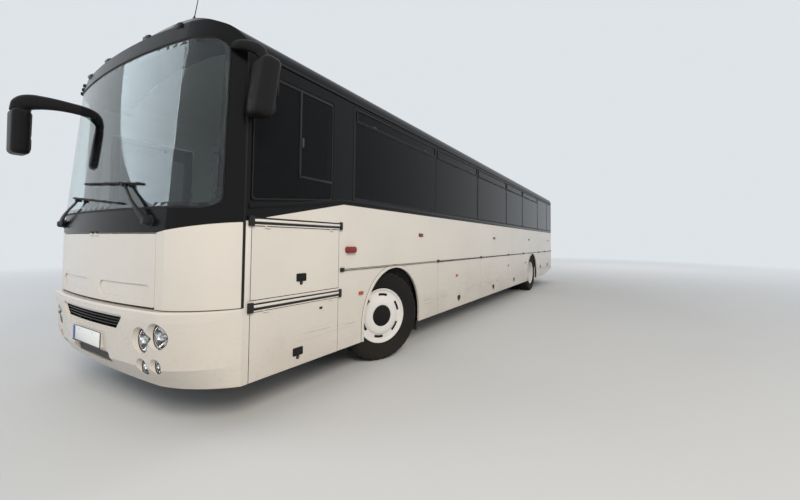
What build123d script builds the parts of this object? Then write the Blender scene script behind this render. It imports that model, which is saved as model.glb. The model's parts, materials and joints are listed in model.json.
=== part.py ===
from build123d import *
import os
from collections import namedtuple
from math import atan2, cos, radians, sin, sqrt

os.makedirs("parts", exist_ok=True)

# Whole coach, in millimetres. +X is the coach's left side, the front looks
# towards -Y, +Z is up, and the origin is on the ground below its middle.
# Places along it are given for the design length.
LENGTH = 12800
DESIGN_LENGTH = 12800
HALF_WIDTH = 1275
NOSE_DEPTH = 475
REAR_DEPTH = 165
CROWN_Z = 3070
SHOULDER_Z = 2740
SHOULDER_RADIUS = 150
SKIRT_Z = 320
TAIL_SKIRT_Z = 460
SIDE_WALL = 55
ROOF_WALL = 45
MASK_WALL = 40
HEADER_DEPTH = 260
MIRROR_REACH = 215
SEAM = 6
SEAT_GAP = 0.3

# Side view, measured from the corner seam behind the nose.
FRONT_WELL = (1300, 2640)
BAY_REAR = 8600


def along(place):
    """Place behind the front corner seam, with any change of length taken up between the axles."""
    share = (place - FRONT_WELL[1]) / (BAY_REAR - FRONT_WELL[1])
    return place + (LENGTH - DESIGN_LENGTH) * min(1, max(0, share))


REAR_WELL = (along(BAY_REAR), along(9820))
FRONT_AXLE = 1940
REAR_AXLE = along(9210)
ARCHES = (FRONT_AXLE + 35, REAR_AXLE - 20)
ARCH_RADIUS = 580
ARCH_TOP_Z = 1040
ARCH_LIP = 30
LIP_PROUD = 7
SKIRT_RISE = along(10760)

# Heights
WAIST_Z = 1385
GLASS_LOW_Z = 1740
GLASS_HIGH_Z = 2690
DECK_Z = 1070
DECK_PLATE = 60
PLATFORM_Z = 950
BAY_FLOOR_Z = 380
BAY_PLATE = 30
RAIL_HIGH_Z = 780
RAIL_LOW_Z = 620
RAIL_IN_X = 400
RAIL_OUT_X = 480

# Wheels
TYRE_RADIUS = 500
TYRE_WIDTH = 292
RIM_RADIUS = 287
FLANGE_RADIUS = 303
WHEEL_X = 1085
TWIN_IN_X = 757
KINGPIN_X = 930
REST_STEER = -22.4
WELL_IN_X = 470
WELL_TOP_Z = 1085
WELL_PLATE = 25
WELL_SLOPE = 40

NOSE_Y = -(LENGTH + MIRROR_REACH) / 2 + MIRROR_REACH
SEAM_Y = NOSE_Y + NOSE_DEPTH
TAIL_Y = NOSE_Y + LENGTH - REAR_DEPTH
WALL_IN_X = HALF_WIDTH - SIDE_WALL



def behind(distance):
    """Y of a place this far behind the front corner seam."""
    return SEAM_Y + distance


def keep(piece, name):
    """Label a finished piece and write it."""
    piece.part.label = name
    export_step(piece.part, f"parts/{name}.step")


def add_panel(x_ends, places, z_ends, mode=Mode.ADD):
    """Add or cut a flat panel or beam between its ends in X, its places and its heights."""
    with BuildSketch(Plane.XY.offset(z_ends[0])) as outline:
        with Locations(((x_ends[0] + x_ends[1]) / 2, behind((places[0] + places[1]) / 2))):
            Rectangle(abs(x_ends[1] - x_ends[0]), places[1] - places[0])
    extrude(outline.sketch, amount=z_ends[1] - z_ends[0], mode=mode)


def body_tube(inset, low_z, start_y, end_y):
    """Solid of the coach's cross-section, inset evenly, between two places along it."""
    side = HALF_WIDTH - inset
    run = HALF_WIDTH - SHOULDER_RADIUS
    rise = CROWN_Z - SHOULDER_Z
    crown_radius = (run**2 + rise**2 - SHOULDER_RADIUS**2) / (2 * (rise - SHOULDER_RADIUS))
    turn = atan2(SHOULDER_Z - CROWN_Z + crown_radius, run)
    radius = SHOULDER_RADIUS - inset
    mid_x, mid_z = run + radius * cos(turn / 2), SHOULDER_Z + radius * sin(turn / 2)
    end_x, end_z = run + radius * cos(turn), SHOULDER_Z + radius * sin(turn)
    with BuildPart() as tube:
        with BuildSketch(Plane.XZ.offset(-start_y)):
            with BuildLine():
                Polyline((-side, SHOULDER_Z), (-side, low_z), (side, low_z), (side, SHOULDER_Z))
                ThreePointArc((side, SHOULDER_Z), (mid_x, mid_z), (end_x, end_z))
                ThreePointArc((end_x, end_z), (0, CROWN_Z - inset), (-end_x, end_z))
                ThreePointArc((-end_x, end_z), (-mid_x, mid_z), (-side, SHOULDER_Z))
            make_face()
        extrude(amount=start_y - end_y)
    return tube.part


# Plan of an end of the coach at some heights: z, then how far inboard of the side and
# at what y the middle of the corner's arc and the front's outer end lie, and y at the middle.
Plan = namedtuple("Plan", "z corner_in corner_y face_in face_y middle_y")

NOSE = (
    Plan(865, 115, -205, 335, -365, -435),
    Plan(1400, 115, -205, 335, -368, -435),
    Plan(2780, 123, -159, 345, -266, -335),
    Plan(2910, 137, -140, 350, -238, -306),
    Plan(3100, 150, -40, 370, -95, -130),
)
BUMPER = (
    Plan(SKIRT_Z, 157, -158, 475, -300, -330),
    Plan(470, 125, -218, 355, -376, -442),
    Plan(790, 111, -236, 325, -405, -NOSE_DEPTH),
    Plan(846, 111, -236, 325, -405, -NOSE_DEPTH),
    Plan(858, 118, -228, 332, -396, 8 - NOSE_DEPTH),
)
TAIL = (
    Plan(TAIL_SKIRT_Z, 35, 75, 125, 112, 150),
    Plan(1700, 35, 75, 125, 112, REAR_DEPTH),
    Plan(3100, 37, 50, 130, 78, 115),
)


def end_solid(plans, inset, seam_y, depth, sign=1):
    """Solid of an end of the coach from its plans, inset evenly, reaching depth behind its seam."""
    seam_x = HALF_WIDTH - inset
    back_y = seam_y + sign * depth
    with BuildPart() as solid:
        for plan in plans:
            corner_x = HALF_WIDTH - plan.corner_in - 0.9 * inset
            corner_y = seam_y + plan.corner_y + sign * 0.5 * inset
            face_x = HALF_WIDTH - plan.face_in - 0.45 * inset
            face_y = seam_y + plan.face_y + sign * 0.93 * inset
            middle_y = seam_y + plan.middle_y + sign * inset
            with BuildSketch(Plane.XY.offset(plan.z)):
                with BuildLine():
                    if depth:
                        Polyline(
                            (-seam_x, seam_y), (-seam_x, back_y), (seam_x, back_y), (seam_x, seam_y)
                        )
                    else:
                        Line((-seam_x, seam_y), (seam_x, seam_y))
                    ThreePointArc((seam_x, seam_y), (corner_x, corner_y), (face_x, face_y))
                    ThreePointArc((face_x, face_y), (0, middle_y), (-face_x, face_y))
                    ThreePointArc((-face_x, face_y), (-corner_x, corner_y), (-seam_x, seam_y))
                make_face()
        loft(ruled=True)
    return solid.part


def nose(inset, depth=HEADER_DEPTH):
    """Outer or inset form of the front, with the header that meets the roof."""
    return end_solid(NOSE, inset, SEAM_Y, depth)


def header_form(inset, depth=HEADER_DEPTH):
    """Outer or inset form of the front below the crown of the roof."""
    return nose(inset, depth) & body_tube(inset, 800, behind(-NOSE_DEPTH - 50), behind(depth))


def tail(inset, depth=0):
    """Outer or inset form of the rear."""
    return end_solid(TAIL, inset, TAIL_Y, depth, sign=-1)


def front_box(half_x, low_z, high_z, radius):
    """Prism along the coach over a rounded rectangle seen from the front."""
    with BuildPart() as prism:
        with BuildSketch(Plane.XZ.offset(100 - NOSE_Y)):
            with Locations((0, (low_z + high_z) / 2)):
                RectangleRounded(2 * half_x, high_z - low_z, radius)
        extrude(amount=-900)
    return prism.part


def rear_box(half_x, low_z, high_z, radius):
    """Prism along the coach over a rounded rectangle seen from the rear."""
    with BuildPart() as prism:
        with BuildSketch(Plane.XZ.offset(-TAIL_Y - REAR_DEPTH - 100)):
            with Locations((0, (low_z + high_z) / 2)):
                RectangleRounded(2 * half_x, high_z - low_z, radius)
        extrude(amount=600)
    return prism.part


def nose_y(plans, x, z):
    """Y of the front's outer face between its outer ends, at x and z."""
    for low, high in zip(plans, plans[1:]):
        if low.z <= z <= high.z:
            share = (z - low.z) / (high.z - low.z)
            places = []
            for plan in (low, high):
                sag = plan.face_y - plan.middle_y
                radius = ((HALF_WIDTH - plan.face_in) ** 2 + sag**2) / (2 * sag)
                places.append(plan.middle_y + radius - sqrt(radius**2 - x**2))
            return SEAM_Y + places[0] + share * (places[1] - places[0])
    raise ValueError("height outside the front")


Span = namedtuple("Span", "start end")


def spans(*places):
    """Spans between neighbouring places behind the seam."""
    ends = [along(place) for place in places]
    return tuple(Span(start, end) for start, end in zip(ends, ends[1:]))


# Side windows. The glass lies in a rebate.
WINDOWS_LEFT = spans(1190, 3040, 4730, 6580, 8050, 9900, 11350, 12080)
WINDOWS_RIGHT = spans(1190, 3040, 4730, 6580) + spans(8050, 9900, 11350, 12080)
PANE = 6
PANE_SEAM = 8
PANE_LAP = 32
DRIVER_PANE = Span(40, 905)
DRIVER_LOW_Z = (1625, 1700)
DRIVER_HIGH_Z = 2615

# Rails stand proud of the walls above the flaps and carry their hinges.
FLAP_HIGH_Z = 1056
RAIL_PROUD = 10
THIN_RAIL = 18
WIDE_RAIL = 64
Rail = namedtuple("Rail", "start end low high")

# Flaps: hinged along their top edges. Name, ends behind the seam, heights.
Flap = namedtuple("Flap", "name start end low high")
FLAP_ENDS = [along(place) for place in (3110, 4910, 6725, 8160, 10020, 10990, 12080)]
ENGINE_FLAP_Z = 560
FLAPS_LEFT = (
    Flap("flap_driver_upper", 60, 1000, 905, 1447),
    Flap("flap_driver_lower", 60, 1000, SKIRT_Z, 820),
    Flap("flap_bay_left_front", FLAP_ENDS[0], FLAP_ENDS[1], SKIRT_Z, FLAP_HIGH_Z),
    Flap("flap_bay_left_middle", FLAP_ENDS[1], FLAP_ENDS[2], SKIRT_Z, FLAP_HIGH_Z),
    Flap("flap_bay_left_rear", FLAP_ENDS[2], FLAP_ENDS[3], SKIRT_Z, FLAP_HIGH_Z),
    Flap("flap_engine_left_front", FLAP_ENDS[4], FLAP_ENDS[5], ENGINE_FLAP_Z, FLAP_HIGH_Z),
    Flap("flap_engine_left_rear", FLAP_ENDS[5], FLAP_ENDS[6], ENGINE_FLAP_Z, FLAP_HIGH_Z),
)
FLAPS_RIGHT = (
    Flap("flap_bay_right_front", FLAP_ENDS[0], FLAP_ENDS[1], SKIRT_Z, FLAP_HIGH_Z),
    Flap("flap_bay_right_middle", FLAP_ENDS[1], FLAP_ENDS[2], SKIRT_Z, FLAP_HIGH_Z),
    Flap("flap_radiator", FLAP_ENDS[4], FLAP_ENDS[5], ENGINE_FLAP_Z, FLAP_HIGH_Z),
)
FLAP_WALL = 28
FLAP_SKIN = 5
FLAP_RIB = 40
FLAP_POCKET = 560
FLAP_FRAME = 45
FLAP_REST = 6

# Passenger doors on the right side: ends behind the seam.
DOOR_FRONT = Span(85, 955)
DOOR_MIDDLE = Span(along(6890), along(7960))
DOOR_LOW_Z = 350
DOOR_HIGH_Z = 2480
DOOR_WALL = 40
DOOR_SEAM = 8
DOOR_GLASS_Z = (1150, 2390)
DOOR_BORDER = 75


# Hinges, seen along their axis: the axis stands outside the skin, below the
# flap's top edge. An ear with a pin is fixed, a barrel turns on the pin.
HINGE_OUT = 5
HINGE_DROP = 7
HINGE_PIN = 3
HINGE_BARREL = 7
HINGE_EAR = 10
HINGE_LENGTH = 36
HINGE_INSET = 120
HINGE_NECK = 7
HINGE_ROOT = 12


def hinge_plane(point, outboard):
    """Plane across a hinge's axis: X outboard, Y up."""
    return Plane(origin=point, x_dir=outboard, z_dir=Vector(*outboard).cross(Vector(0, 0, 1)))


def hinge_ear(point, outboard):
    """Fixed half of a hinge: an ear on the rail above, with its pin along the axis."""
    plane = hinge_plane(point, outboard)
    neck = HINGE_DROP + SEAM + HINGE_ROOT / 2
    with BuildPart() as half:
        with BuildSketch(plane):
            Circle(HINGE_PIN + 1.5)
            with Locations((1, neck / 2)):
                Rectangle(HINGE_NECK, neck)
            with Locations((-1.5, neck)):
                Rectangle(HINGE_ROOT, HINGE_ROOT)
        extrude(amount=HINGE_EAR)
        with BuildSketch(plane.offset(-HINGE_LENGTH)):
            Circle(HINGE_PIN)
        extrude(amount=HINGE_LENGTH)
    return half.part


def hinge_barrel(point, outboard):
    """Moving half of a hinge: a barrel on the pin, rooted in the flap's skin."""
    with BuildPart() as half:
        with BuildSketch(hinge_plane(point, outboard).offset(-HINGE_LENGTH)):
            Circle(HINGE_BARREL)
            Circle(HINGE_PIN + SEAT_GAP, mode=Mode.SUBTRACT)
        extrude(amount=HINGE_LENGTH - 1)
    return half.part


def flap_hinges(sign, flap):
    """Places of a flap's hinges on its axis, and the way out of the coach."""
    axis_x = sign * (HALF_WIDTH + HINGE_OUT)
    axis_z = flap.high - SEAM / 2 - HINGE_DROP
    places = (flap.start + HINGE_INSET, flap.end - HINGE_INSET)
    return [(axis_x, behind(place), axis_z) for place in places], (sign, 0, 0)


def arch_shape(centre, grow=0):
    """Opening of a wheel arch in a side view, open below, grown evenly."""
    arch_z = ARCH_TOP_Z - ARCH_RADIUS
    with BuildSketch() as shape:
        with Locations((behind(centre), arch_z)):
            Circle(ARCH_RADIUS + grow)
        with Locations((behind(centre), arch_z / 2)):
            Rectangle(2 * (ARCH_RADIUS + grow), arch_z)
    return shape.sketch


def side_outline():
    """Outer outline of a side wall, with both wheel arches, in its own plane."""
    with BuildSketch() as outline:
        with BuildLine():
            Polyline(
                (behind(0), SKIRT_Z),
                (behind(SKIRT_RISE), SKIRT_Z),
                (TAIL_Y, TAIL_SKIRT_Z),
                (TAIL_Y, SHOULDER_Z),
                (behind(0), SHOULDER_Z),
                close=True,
            )
        make_face()
        for centre in ARCHES:
            add(arch_shape(centre), mode=Mode.SUBTRACT)
    return outline.sketch


def add_arch_lips(sign):
    """Add the rolled lips round the wheel arches, proud of a side wall."""
    with BuildSketch(Plane.YZ.offset(sign * (HALF_WIDTH - 1))) as lips:
        for centre in ARCHES:
            add(arch_shape(centre, ARCH_LIP))
            add(arch_shape(centre), mode=Mode.SUBTRACT)
        with Locations((behind(0) + LENGTH / 2, 0)):
            Rectangle(2 * LENGTH, 2 * SKIRT_Z, mode=Mode.SUBTRACT)
    extrude(lips.sketch, amount=sign * (LIP_PROUD + 1))


def span_rectangle(start, end, low, high, grow=0):
    """Rectangle in a side view, grown or shrunk on every edge."""
    with Locations((behind((start + end) / 2), (low + high) / 2)):
        Rectangle(end - start + 2 * grow, high - low + 2 * grow)


def driver_outline(grow):
    """Driver's window in the wall's plane, its lower edge rising to the rear."""
    start, end = behind(DRIVER_PANE.start) - grow, behind(DRIVER_PANE.end) + grow
    with BuildSketch() as outline:
        with BuildLine():
            Polyline(
                (start, DRIVER_LOW_Z[0] - grow),
                (end, DRIVER_LOW_Z[1] - grow),
                (end, DRIVER_HIGH_Z + grow),
                (start, DRIVER_HIGH_Z + grow),
                close=True,
            )
        make_face()
    return outline.sketch


def cut_windows(sign, windows):
    """Cut the panes' rebates and the openings behind them out of a side wall."""
    outside = Plane.YZ.offset(sign * HALF_WIDTH)
    with BuildSketch(outside) as rebates:
        for window in windows:
            span_rectangle(window.start, window.end, GLASS_LOW_Z, GLASS_HIGH_Z)
    extrude(rebates.sketch, amount=-sign * PANE, mode=Mode.SUBTRACT)
    with BuildSketch(outside) as openings:
        for window in windows:
            span_rectangle(window.start, window.end, GLASS_LOW_Z, GLASS_HIGH_Z, -PANE_LAP)
    extrude(openings.sketch, amount=-sign * SIDE_WALL, mode=Mode.SUBTRACT)


def cut_flaps(sign, flaps):
    """Cut the flaps' recesses and the openings behind them out of a side wall."""
    outside = Plane.YZ.offset(sign * HALF_WIDTH)
    with BuildSketch(outside) as recesses:
        for flap in flaps:
            span_rectangle(flap.start, flap.end, flap.low, flap.high, SEAM / 2)
    extrude(recesses.sketch, amount=-sign * (FLAP_WALL + FLAP_REST), mode=Mode.SUBTRACT)
    with BuildSketch(outside) as openings:
        for flap in flaps:
            span_rectangle(flap.start, flap.end, flap.low, flap.high, -FLAP_FRAME)
    extrude(openings.sketch, amount=-sign * SIDE_WALL, mode=Mode.SUBTRACT)


def add_rails(sign, rails, flaps):
    """Add the rails to a side wall, with the fixed halves of the flaps' hinges."""
    with BuildSketch(Plane.YZ.offset(sign * (HALF_WIDTH - 2))) as strips:
        for rail in rails:
            span_rectangle(rail.start, rail.end, rail.low, rail.high)
    extrude(strips.sketch, amount=sign * (RAIL_PROUD + 2))
    for flap in flaps:
        points, outboard = flap_hinges(sign, flap)
        for point in points:
            add(hinge_ear(point, outboard))


FLAP_RAIL_Z = FLAP_HIGH_Z + SEAM / 2
RAIL_ENDS = (1040, along(12090))
RAILS_LEFT = (
    Rail(35, 1033, FLAPS_LEFT[0].high + SEAM / 2, FLAPS_LEFT[0].high + SEAM / 2 + WIDE_RAIL),
    Rail(42, 1030, FLAPS_LEFT[1].high + SEAM / 2, FLAPS_LEFT[1].high + SEAM / 2 + WIDE_RAIL),
    Rail(RAIL_ENDS[0], RAIL_ENDS[1], FLAP_RAIL_Z, FLAP_RAIL_Z + THIN_RAIL),
)
RAILS_RIGHT = (
    Rail(RAIL_ENDS[0], DOOR_MIDDLE.start - 40, FLAP_RAIL_Z, FLAP_RAIL_Z + THIN_RAIL),
    Rail(DOOR_MIDDLE.end + 40, RAIL_ENDS[1], FLAP_RAIL_Z, FLAP_RAIL_Z + THIN_RAIL),
)

# Side walls
with BuildPart() as side_left:
    with BuildSketch(Plane.YZ.offset(WALL_IN_X)):
        add(side_outline())
    extrude(amount=SIDE_WALL)
    cut_windows(1, WINDOWS_LEFT)
    with BuildSketch(Plane.YZ.offset(HALF_WIDTH)):
        add(driver_outline(0))
    extrude(amount=-PANE, mode=Mode.SUBTRACT)
    with BuildSketch(Plane.YZ.offset(HALF_WIDTH)):
        add(driver_outline(-PANE_LAP))
    extrude(amount=-SIDE_WALL, mode=Mode.SUBTRACT)
    cut_flaps(1, FLAPS_LEFT)
    add_arch_lips(1)
    add_rails(1, RAILS_LEFT, FLAPS_LEFT)
keep(side_left, "side_left")

with BuildPart() as side_right:
    with BuildSketch(Plane.YZ.offset(-HALF_WIDTH)):
        add(side_outline())
    extrude(amount=SIDE_WALL)
    cut_windows(-1, WINDOWS_RIGHT)
    cut_flaps(-1, FLAPS_RIGHT)
    with BuildSketch(Plane.YZ.offset(-HALF_WIDTH)):
        for door in (DOOR_FRONT, DOOR_MIDDLE):
            span_rectangle(door.start, door.end, DOOR_LOW_Z, DOOR_HIGH_Z, DOOR_SEAM)
    extrude(amount=SIDE_WALL, mode=Mode.SUBTRACT)
    add_arch_lips(-1)
    add_rails(-1, RAILS_RIGHT, FLAPS_RIGHT)
keep(side_right, "side_right")

# Side glass
for side_name, sign, windows in (("left", 1, WINDOWS_LEFT), ("right", -1, WINDOWS_RIGHT)):
    with BuildPart() as side_glass:
        with BuildSketch(Plane.YZ.offset(sign * HALF_WIDTH)):
            for window in windows:
                span_rectangle(
                    window.start + PANE_SEAM / 2,
                    window.end - PANE_SEAM / 2,
                    GLASS_LOW_Z + PANE_SEAM / 2,
                    GLASS_HIGH_Z - PANE_SEAM / 2,
                )
            if sign > 0:
                add(driver_outline(-PANE_SEAM / 2))
        extrude(amount=-sign * PANE)
    keep(side_glass, f"glass_{side_name}")

# Flaps: a skin on a frame with upright ribs. The radiator's flap has slots.
SLOT = (560, 16, 44)
SLOT_COUNT = 7
for sign, flaps in ((1, FLAPS_LEFT), (-1, FLAPS_RIGHT)):
    for flap in flaps:
        low = flap.low if flap.low == SKIRT_Z else flap.low + SEAM / 2
        high = flap.high - SEAM / 2
        middle = (behind((flap.start + flap.end) / 2), (low + high) / 2)
        pockets = round((flap.end - flap.start) / FLAP_POCKET)
        pitch = (flap.end - flap.start - FLAP_RIB) / pockets
        with BuildPart() as flap_panel:
            with BuildSketch(Plane.YZ.offset(sign * HALF_WIDTH)):
                span_rectangle(flap.start + SEAM / 2, flap.end - SEAM / 2, low, high)
            extrude(amount=-sign * FLAP_WALL)
            with BuildSketch(Plane.YZ.offset(sign * (HALF_WIDTH - FLAP_SKIN))):
                with Locations(middle):
                    with GridLocations(pitch, 1, pockets, 1):
                        Rectangle(pitch - FLAP_RIB, high - low - 2 * FLAP_RIB)
            extrude(amount=-sign * FLAP_WALL, mode=Mode.SUBTRACT)
            if flap.name == "flap_radiator":
                with BuildSketch(Plane.YZ.offset(sign * (HALF_WIDTH + 1))):
                    with Locations(middle):
                        with GridLocations(1, SLOT[2], 1, SLOT_COUNT):
                            SlotOverall(SLOT[0], SLOT[1])
                extrude(amount=-sign * 2 * FLAP_WALL, mode=Mode.SUBTRACT)
            points, outboard = flap_hinges(sign, flap)
            for point in points:
                add(hinge_barrel(point, outboard))
        keep(flap_panel, flap.name)

# Roof
with BuildPart() as roof:
    add(body_tube(0, DECK_Z, behind(HEADER_DEPTH), TAIL_Y))
    add(body_tube(ROOF_WALL, DECK_Z, behind(HEADER_DEPTH), TAIL_Y), mode=Mode.SUBTRACT)
    split(bisect_by=Plane.XY.offset(SHOULDER_Z), keep=Keep.TOP)
keep(roof, "roof")

# Roof hatches, and the whip aerial on the header
HATCH = (760, 700, 45)
HATCH_PLACES = (along(3300), along(8900))
AERIAL_FOOT = (880, behind(-190), 2945)
AERIAL_TOP = (920, behind(-140), 3390)
with BuildPart() as roof_fittings:
    for place in HATCH_PLACES:
        with BuildSketch(Plane.XY.offset(CROWN_Z - 20)):
            with Locations((0, behind(place))):
                RectangleRounded(HATCH[0], HATCH[1], 60)
        extrude(amount=HATCH[2] + 20, taper=6)
    lean = Vector(*AERIAL_TOP) - Vector(*AERIAL_FOOT)
    with BuildSketch(Plane(origin=AERIAL_FOOT, z_dir=lean.normalized()).offset(-60)):
        Circle(22)
    extrude(amount=85, taper=5)
    with BuildSketch(Plane(origin=AERIAL_FOOT, z_dir=lean.normalized())):
        RegularPolygon(3, 8)
    extrude(amount=lean.length)
    add(body_tube(0, DECK_Z, behind(HEADER_DEPTH), TAIL_Y), mode=Mode.SUBTRACT)
    add(header_form(-SEAT_GAP), mode=Mode.SUBTRACT)
keep(roof_fittings, "roof_fittings")

# Front mask with pillars and header, windscreen and service lid
SCREEN = (1216, 1562, 2765, 90)
SCREEN_LAP = 34
SCREEN_PANE = 8
LID_HALF_X = 855
LID_LOW_Z = 870
LID_WALL = 30
LID_SEAM = 6

LID_HINGE_X = (-45, 45)
LID_POCKET = (690, 104, 45)
LID_POCKET_X = 455
LID_POCKET_Z = 975
LID_POCKET_DEPTH = 9


def end_hinges(plans, seam_y, top_z, outward):
    """Places of a lid's hinges on its axis, and the way out of the coach."""
    axis_z = top_z - HINGE_DROP
    low, high = [(a, b) for a, b in zip(plans, plans[1:]) if a.z <= axis_z <= b.z][0]
    share = (axis_z - low.z) / (high.z - low.z)
    axis_y = seam_y + low.middle_y + share * (high.middle_y - low.middle_y) + outward * HINGE_OUT
    return [(x + outward * HINGE_LENGTH / 2, axis_y, axis_z) for x in LID_HINGE_X], (0, outward, 0)


FRONT_LID_HINGES = end_hinges(NOSE, SEAM_Y, WAIST_Z - LID_SEAM, -1)

with BuildPart() as front_mask:
    add(header_form(0))
    add(header_form(MASK_WALL, HEADER_DEPTH + 50), mode=Mode.SUBTRACT)
    with BuildSketch(Plane.XY.offset(800)):
        with Locations((0, behind(HEADER_DEPTH))):
            Rectangle(3 * HALF_WIDTH, 2 * HEADER_DEPTH)
    extrude(amount=SHOULDER_Z - 800, mode=Mode.SUBTRACT)
    add((nose(0) - nose(SCREEN_PANE)) & front_box(*SCREEN), mode=Mode.SUBTRACT)
    add(
        front_box(SCREEN[0] - SCREEN_LAP, SCREEN[1] + SCREEN_LAP, SCREEN[2] - SCREEN_LAP, 60),
        mode=Mode.SUBTRACT,
    )
    add(front_box(LID_HALF_X, LID_LOW_Z - 60, WAIST_Z, 8), mode=Mode.SUBTRACT)
    for point in FRONT_LID_HINGES[0]:
        add(hinge_ear(point, FRONT_LID_HINGES[1]))
keep(front_mask, "front_mask")

with BuildPart() as windscreen:
    add((nose(0) - nose(SCREEN_PANE)) & front_box(SCREEN[0] - 3, SCREEN[1] + 3, SCREEN[2] - 3, 88))
keep(windscreen, "windscreen")

with BuildPart() as front_lid:
    add(
        (nose(0) - nose(LID_WALL))
        & front_box(LID_HALF_X - LID_SEAM, LID_LOW_Z + LID_SEAM, WAIST_Z - LID_SEAM, 8)
    )
    with BuildPart(mode=Mode.PRIVATE) as pockets:
        with BuildSketch(Plane.XZ.offset(100 - NOSE_Y)):
            with Locations((-LID_POCKET_X, LID_POCKET_Z), (LID_POCKET_X, LID_POCKET_Z)):
                RectangleRounded(*LID_POCKET)
        extrude(amount=-900)
    add((nose(0) - nose(LID_POCKET_DEPTH)) & pockets.part, mode=Mode.SUBTRACT)
    for point in FRONT_LID_HINGES[0]:
        add(hinge_barrel(point, FRONT_LID_HINGES[1]))
keep(front_lid, "front_lid")

# Front bumper: a moulded shell with a slatted intake in a bevelled frame, a tray
# below the number plate, and lamps sunk in housings with flared mouths.
BUMPER_WALL = 30
BUMPER_RETURN = 70
PLATE_WIDTH = 520
PLATE_HEIGHT = 112
PLATE_Z = 588
PLATE_DEPTH = 464
FRAME_DEPTH = 14
INTAKE = ((-440, 700), (440, 700), (522, 787), (-522, 787))
INTAKE_FRAME = ((-470, 668), (470, 668), (568, 806), (-568, 806))
SLATS_Z = (722, 744, 766)
SLAT = 7
TRAY = (600, 58, 27)
TRAY_FRAME = (680, 104, 50)
TRAY_Z = 470
Lamp = namedtuple("Lamp", "x z radius")
LAMPS = (Lamp(763, 651, 82), Lamp(930, 692, 82), Lamp(752, 461, 55), Lamp(900, 486, 46))
LAMP_SUNK = 25
LAMP_DEPTH = 100
LENS_SUNK = 5
MOUTH_FLARE = 17
HOUSING_WALL = 24
HOUSING_DEPTH = 60


def bumper_form(inset, depth=0):
    """Outer or inset form of the front bumper."""
    return end_solid(BUMPER, inset, SEAM_Y, depth)


def lamp_face(lamp):
    """Y of a front lamp's glass."""
    return nose_y(BUMPER, min(lamp.x, HALF_WIDTH - BUMPER[2].face_in - 10), lamp.z) + LAMP_SUNK


def lamp_prism(lamp, grow, front_y, length, taper=0):
    """Round prisms on both sides of the front, over a lamp's outline grown evenly."""
    with BuildPart() as prism:
        with BuildSketch(Plane.XZ.offset(-front_y)):
            with Locations((lamp.x, lamp.z), (-lamp.x, lamp.z)):
                Circle(lamp.radius + grow)
        extrude(amount=length, taper=taper)
    return prism.part


def front_prism(*outlines):
    """Prism along the coach over outlines seen from the front."""
    with BuildPart() as prism:
        with BuildSketch(Plane.XZ.offset(50 - NOSE_Y)):
            for outline in outlines:
                add(outline)
        extrude(amount=-NOSE_DEPTH)
    return prism.part


def trapezoid(points):
    """Outline through points seen from the front, with rounded corners."""
    with BuildSketch() as outline:
        Polygon(*points, align=None)
        fillet(outline.vertices(), 14)
    return outline.sketch


def tray_outline(size):
    """Rounded outline of the tray below the plate, seen from the front."""
    with BuildSketch() as outline:
        with Locations((0, TRAY_Z)):
            RectangleRounded(*size)
    return outline.sketch


with BuildPart() as bumper_front:
    add(bumper_form(0))
    add(bumper_form(BUMPER_WALL, 40), mode=Mode.SUBTRACT)
    with BuildPart(mode=Mode.PRIVATE) as top_return:
        with BuildSketch(Plane.XY.offset(BUMPER[-2].z)):
            with Locations((0, SEAM_Y)):
                Rectangle(3 * HALF_WIDTH, 3 * NOSE_DEPTH)
        extrude(amount=BUMPER[-1].z - BUMPER[-2].z)
    add((bumper_form(0) - bumper_form(BUMPER_RETURN)) & top_return.part)
    for lamp in LAMPS:
        add(lamp_prism(lamp, HOUSING_WALL, lamp_face(lamp) + HOUSING_DEPTH, 300) & bumper_form(0))
    frames = front_prism(trapezoid(INTAKE_FRAME), tray_outline(TRAY_FRAME))
    add((bumper_form(0) - bumper_form(FRAME_DEPTH)) & frames, mode=Mode.SUBTRACT)
    add(front_prism(trapezoid(INTAKE), tray_outline(TRAY)), mode=Mode.SUBTRACT)
    with BuildPart(mode=Mode.PRIVATE) as slats:
        with BuildSketch(Plane.XZ.offset(50 - NOSE_Y)):
            with Locations(*[(0, z) for z in SLATS_Z]):
                Rectangle(2 * INTAKE[-2][0] + 40, SLAT)
        extrude(amount=-NOSE_DEPTH)
    add((bumper_form(BUMPER_WALL - 12) - bumper_form(BUMPER_WALL + 2)) & slats.part)
    for lamp in LAMPS:
        add(lamp_prism(lamp, 1, lamp_face(lamp), 150, -MOUTH_FLARE), mode=Mode.SUBTRACT)
        add(lamp_prism(lamp, SEAT_GAP, lamp_face(lamp) + 200, 250), mode=Mode.SUBTRACT)
    with BuildSketch(Plane.XZ.offset(PLATE_DEPTH - SEAM_Y)):
        with Locations((0, PLATE_Z)):
            Rectangle(PLATE_WIDTH, PLATE_HEIGHT)
    extrude(until=Until.NEXT, dir=(0, 1, 0))
keep(bumper_front, "bumper_front")

with BuildPart() as lamps_front:
    for lamp in LAMPS:
        add(lamp_prism(lamp, 0, lamp_face(lamp) + LAMP_DEPTH, LAMP_DEPTH) & bumper_form(LENS_SUNK))
keep(lamps_front, "lamps_front")

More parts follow.
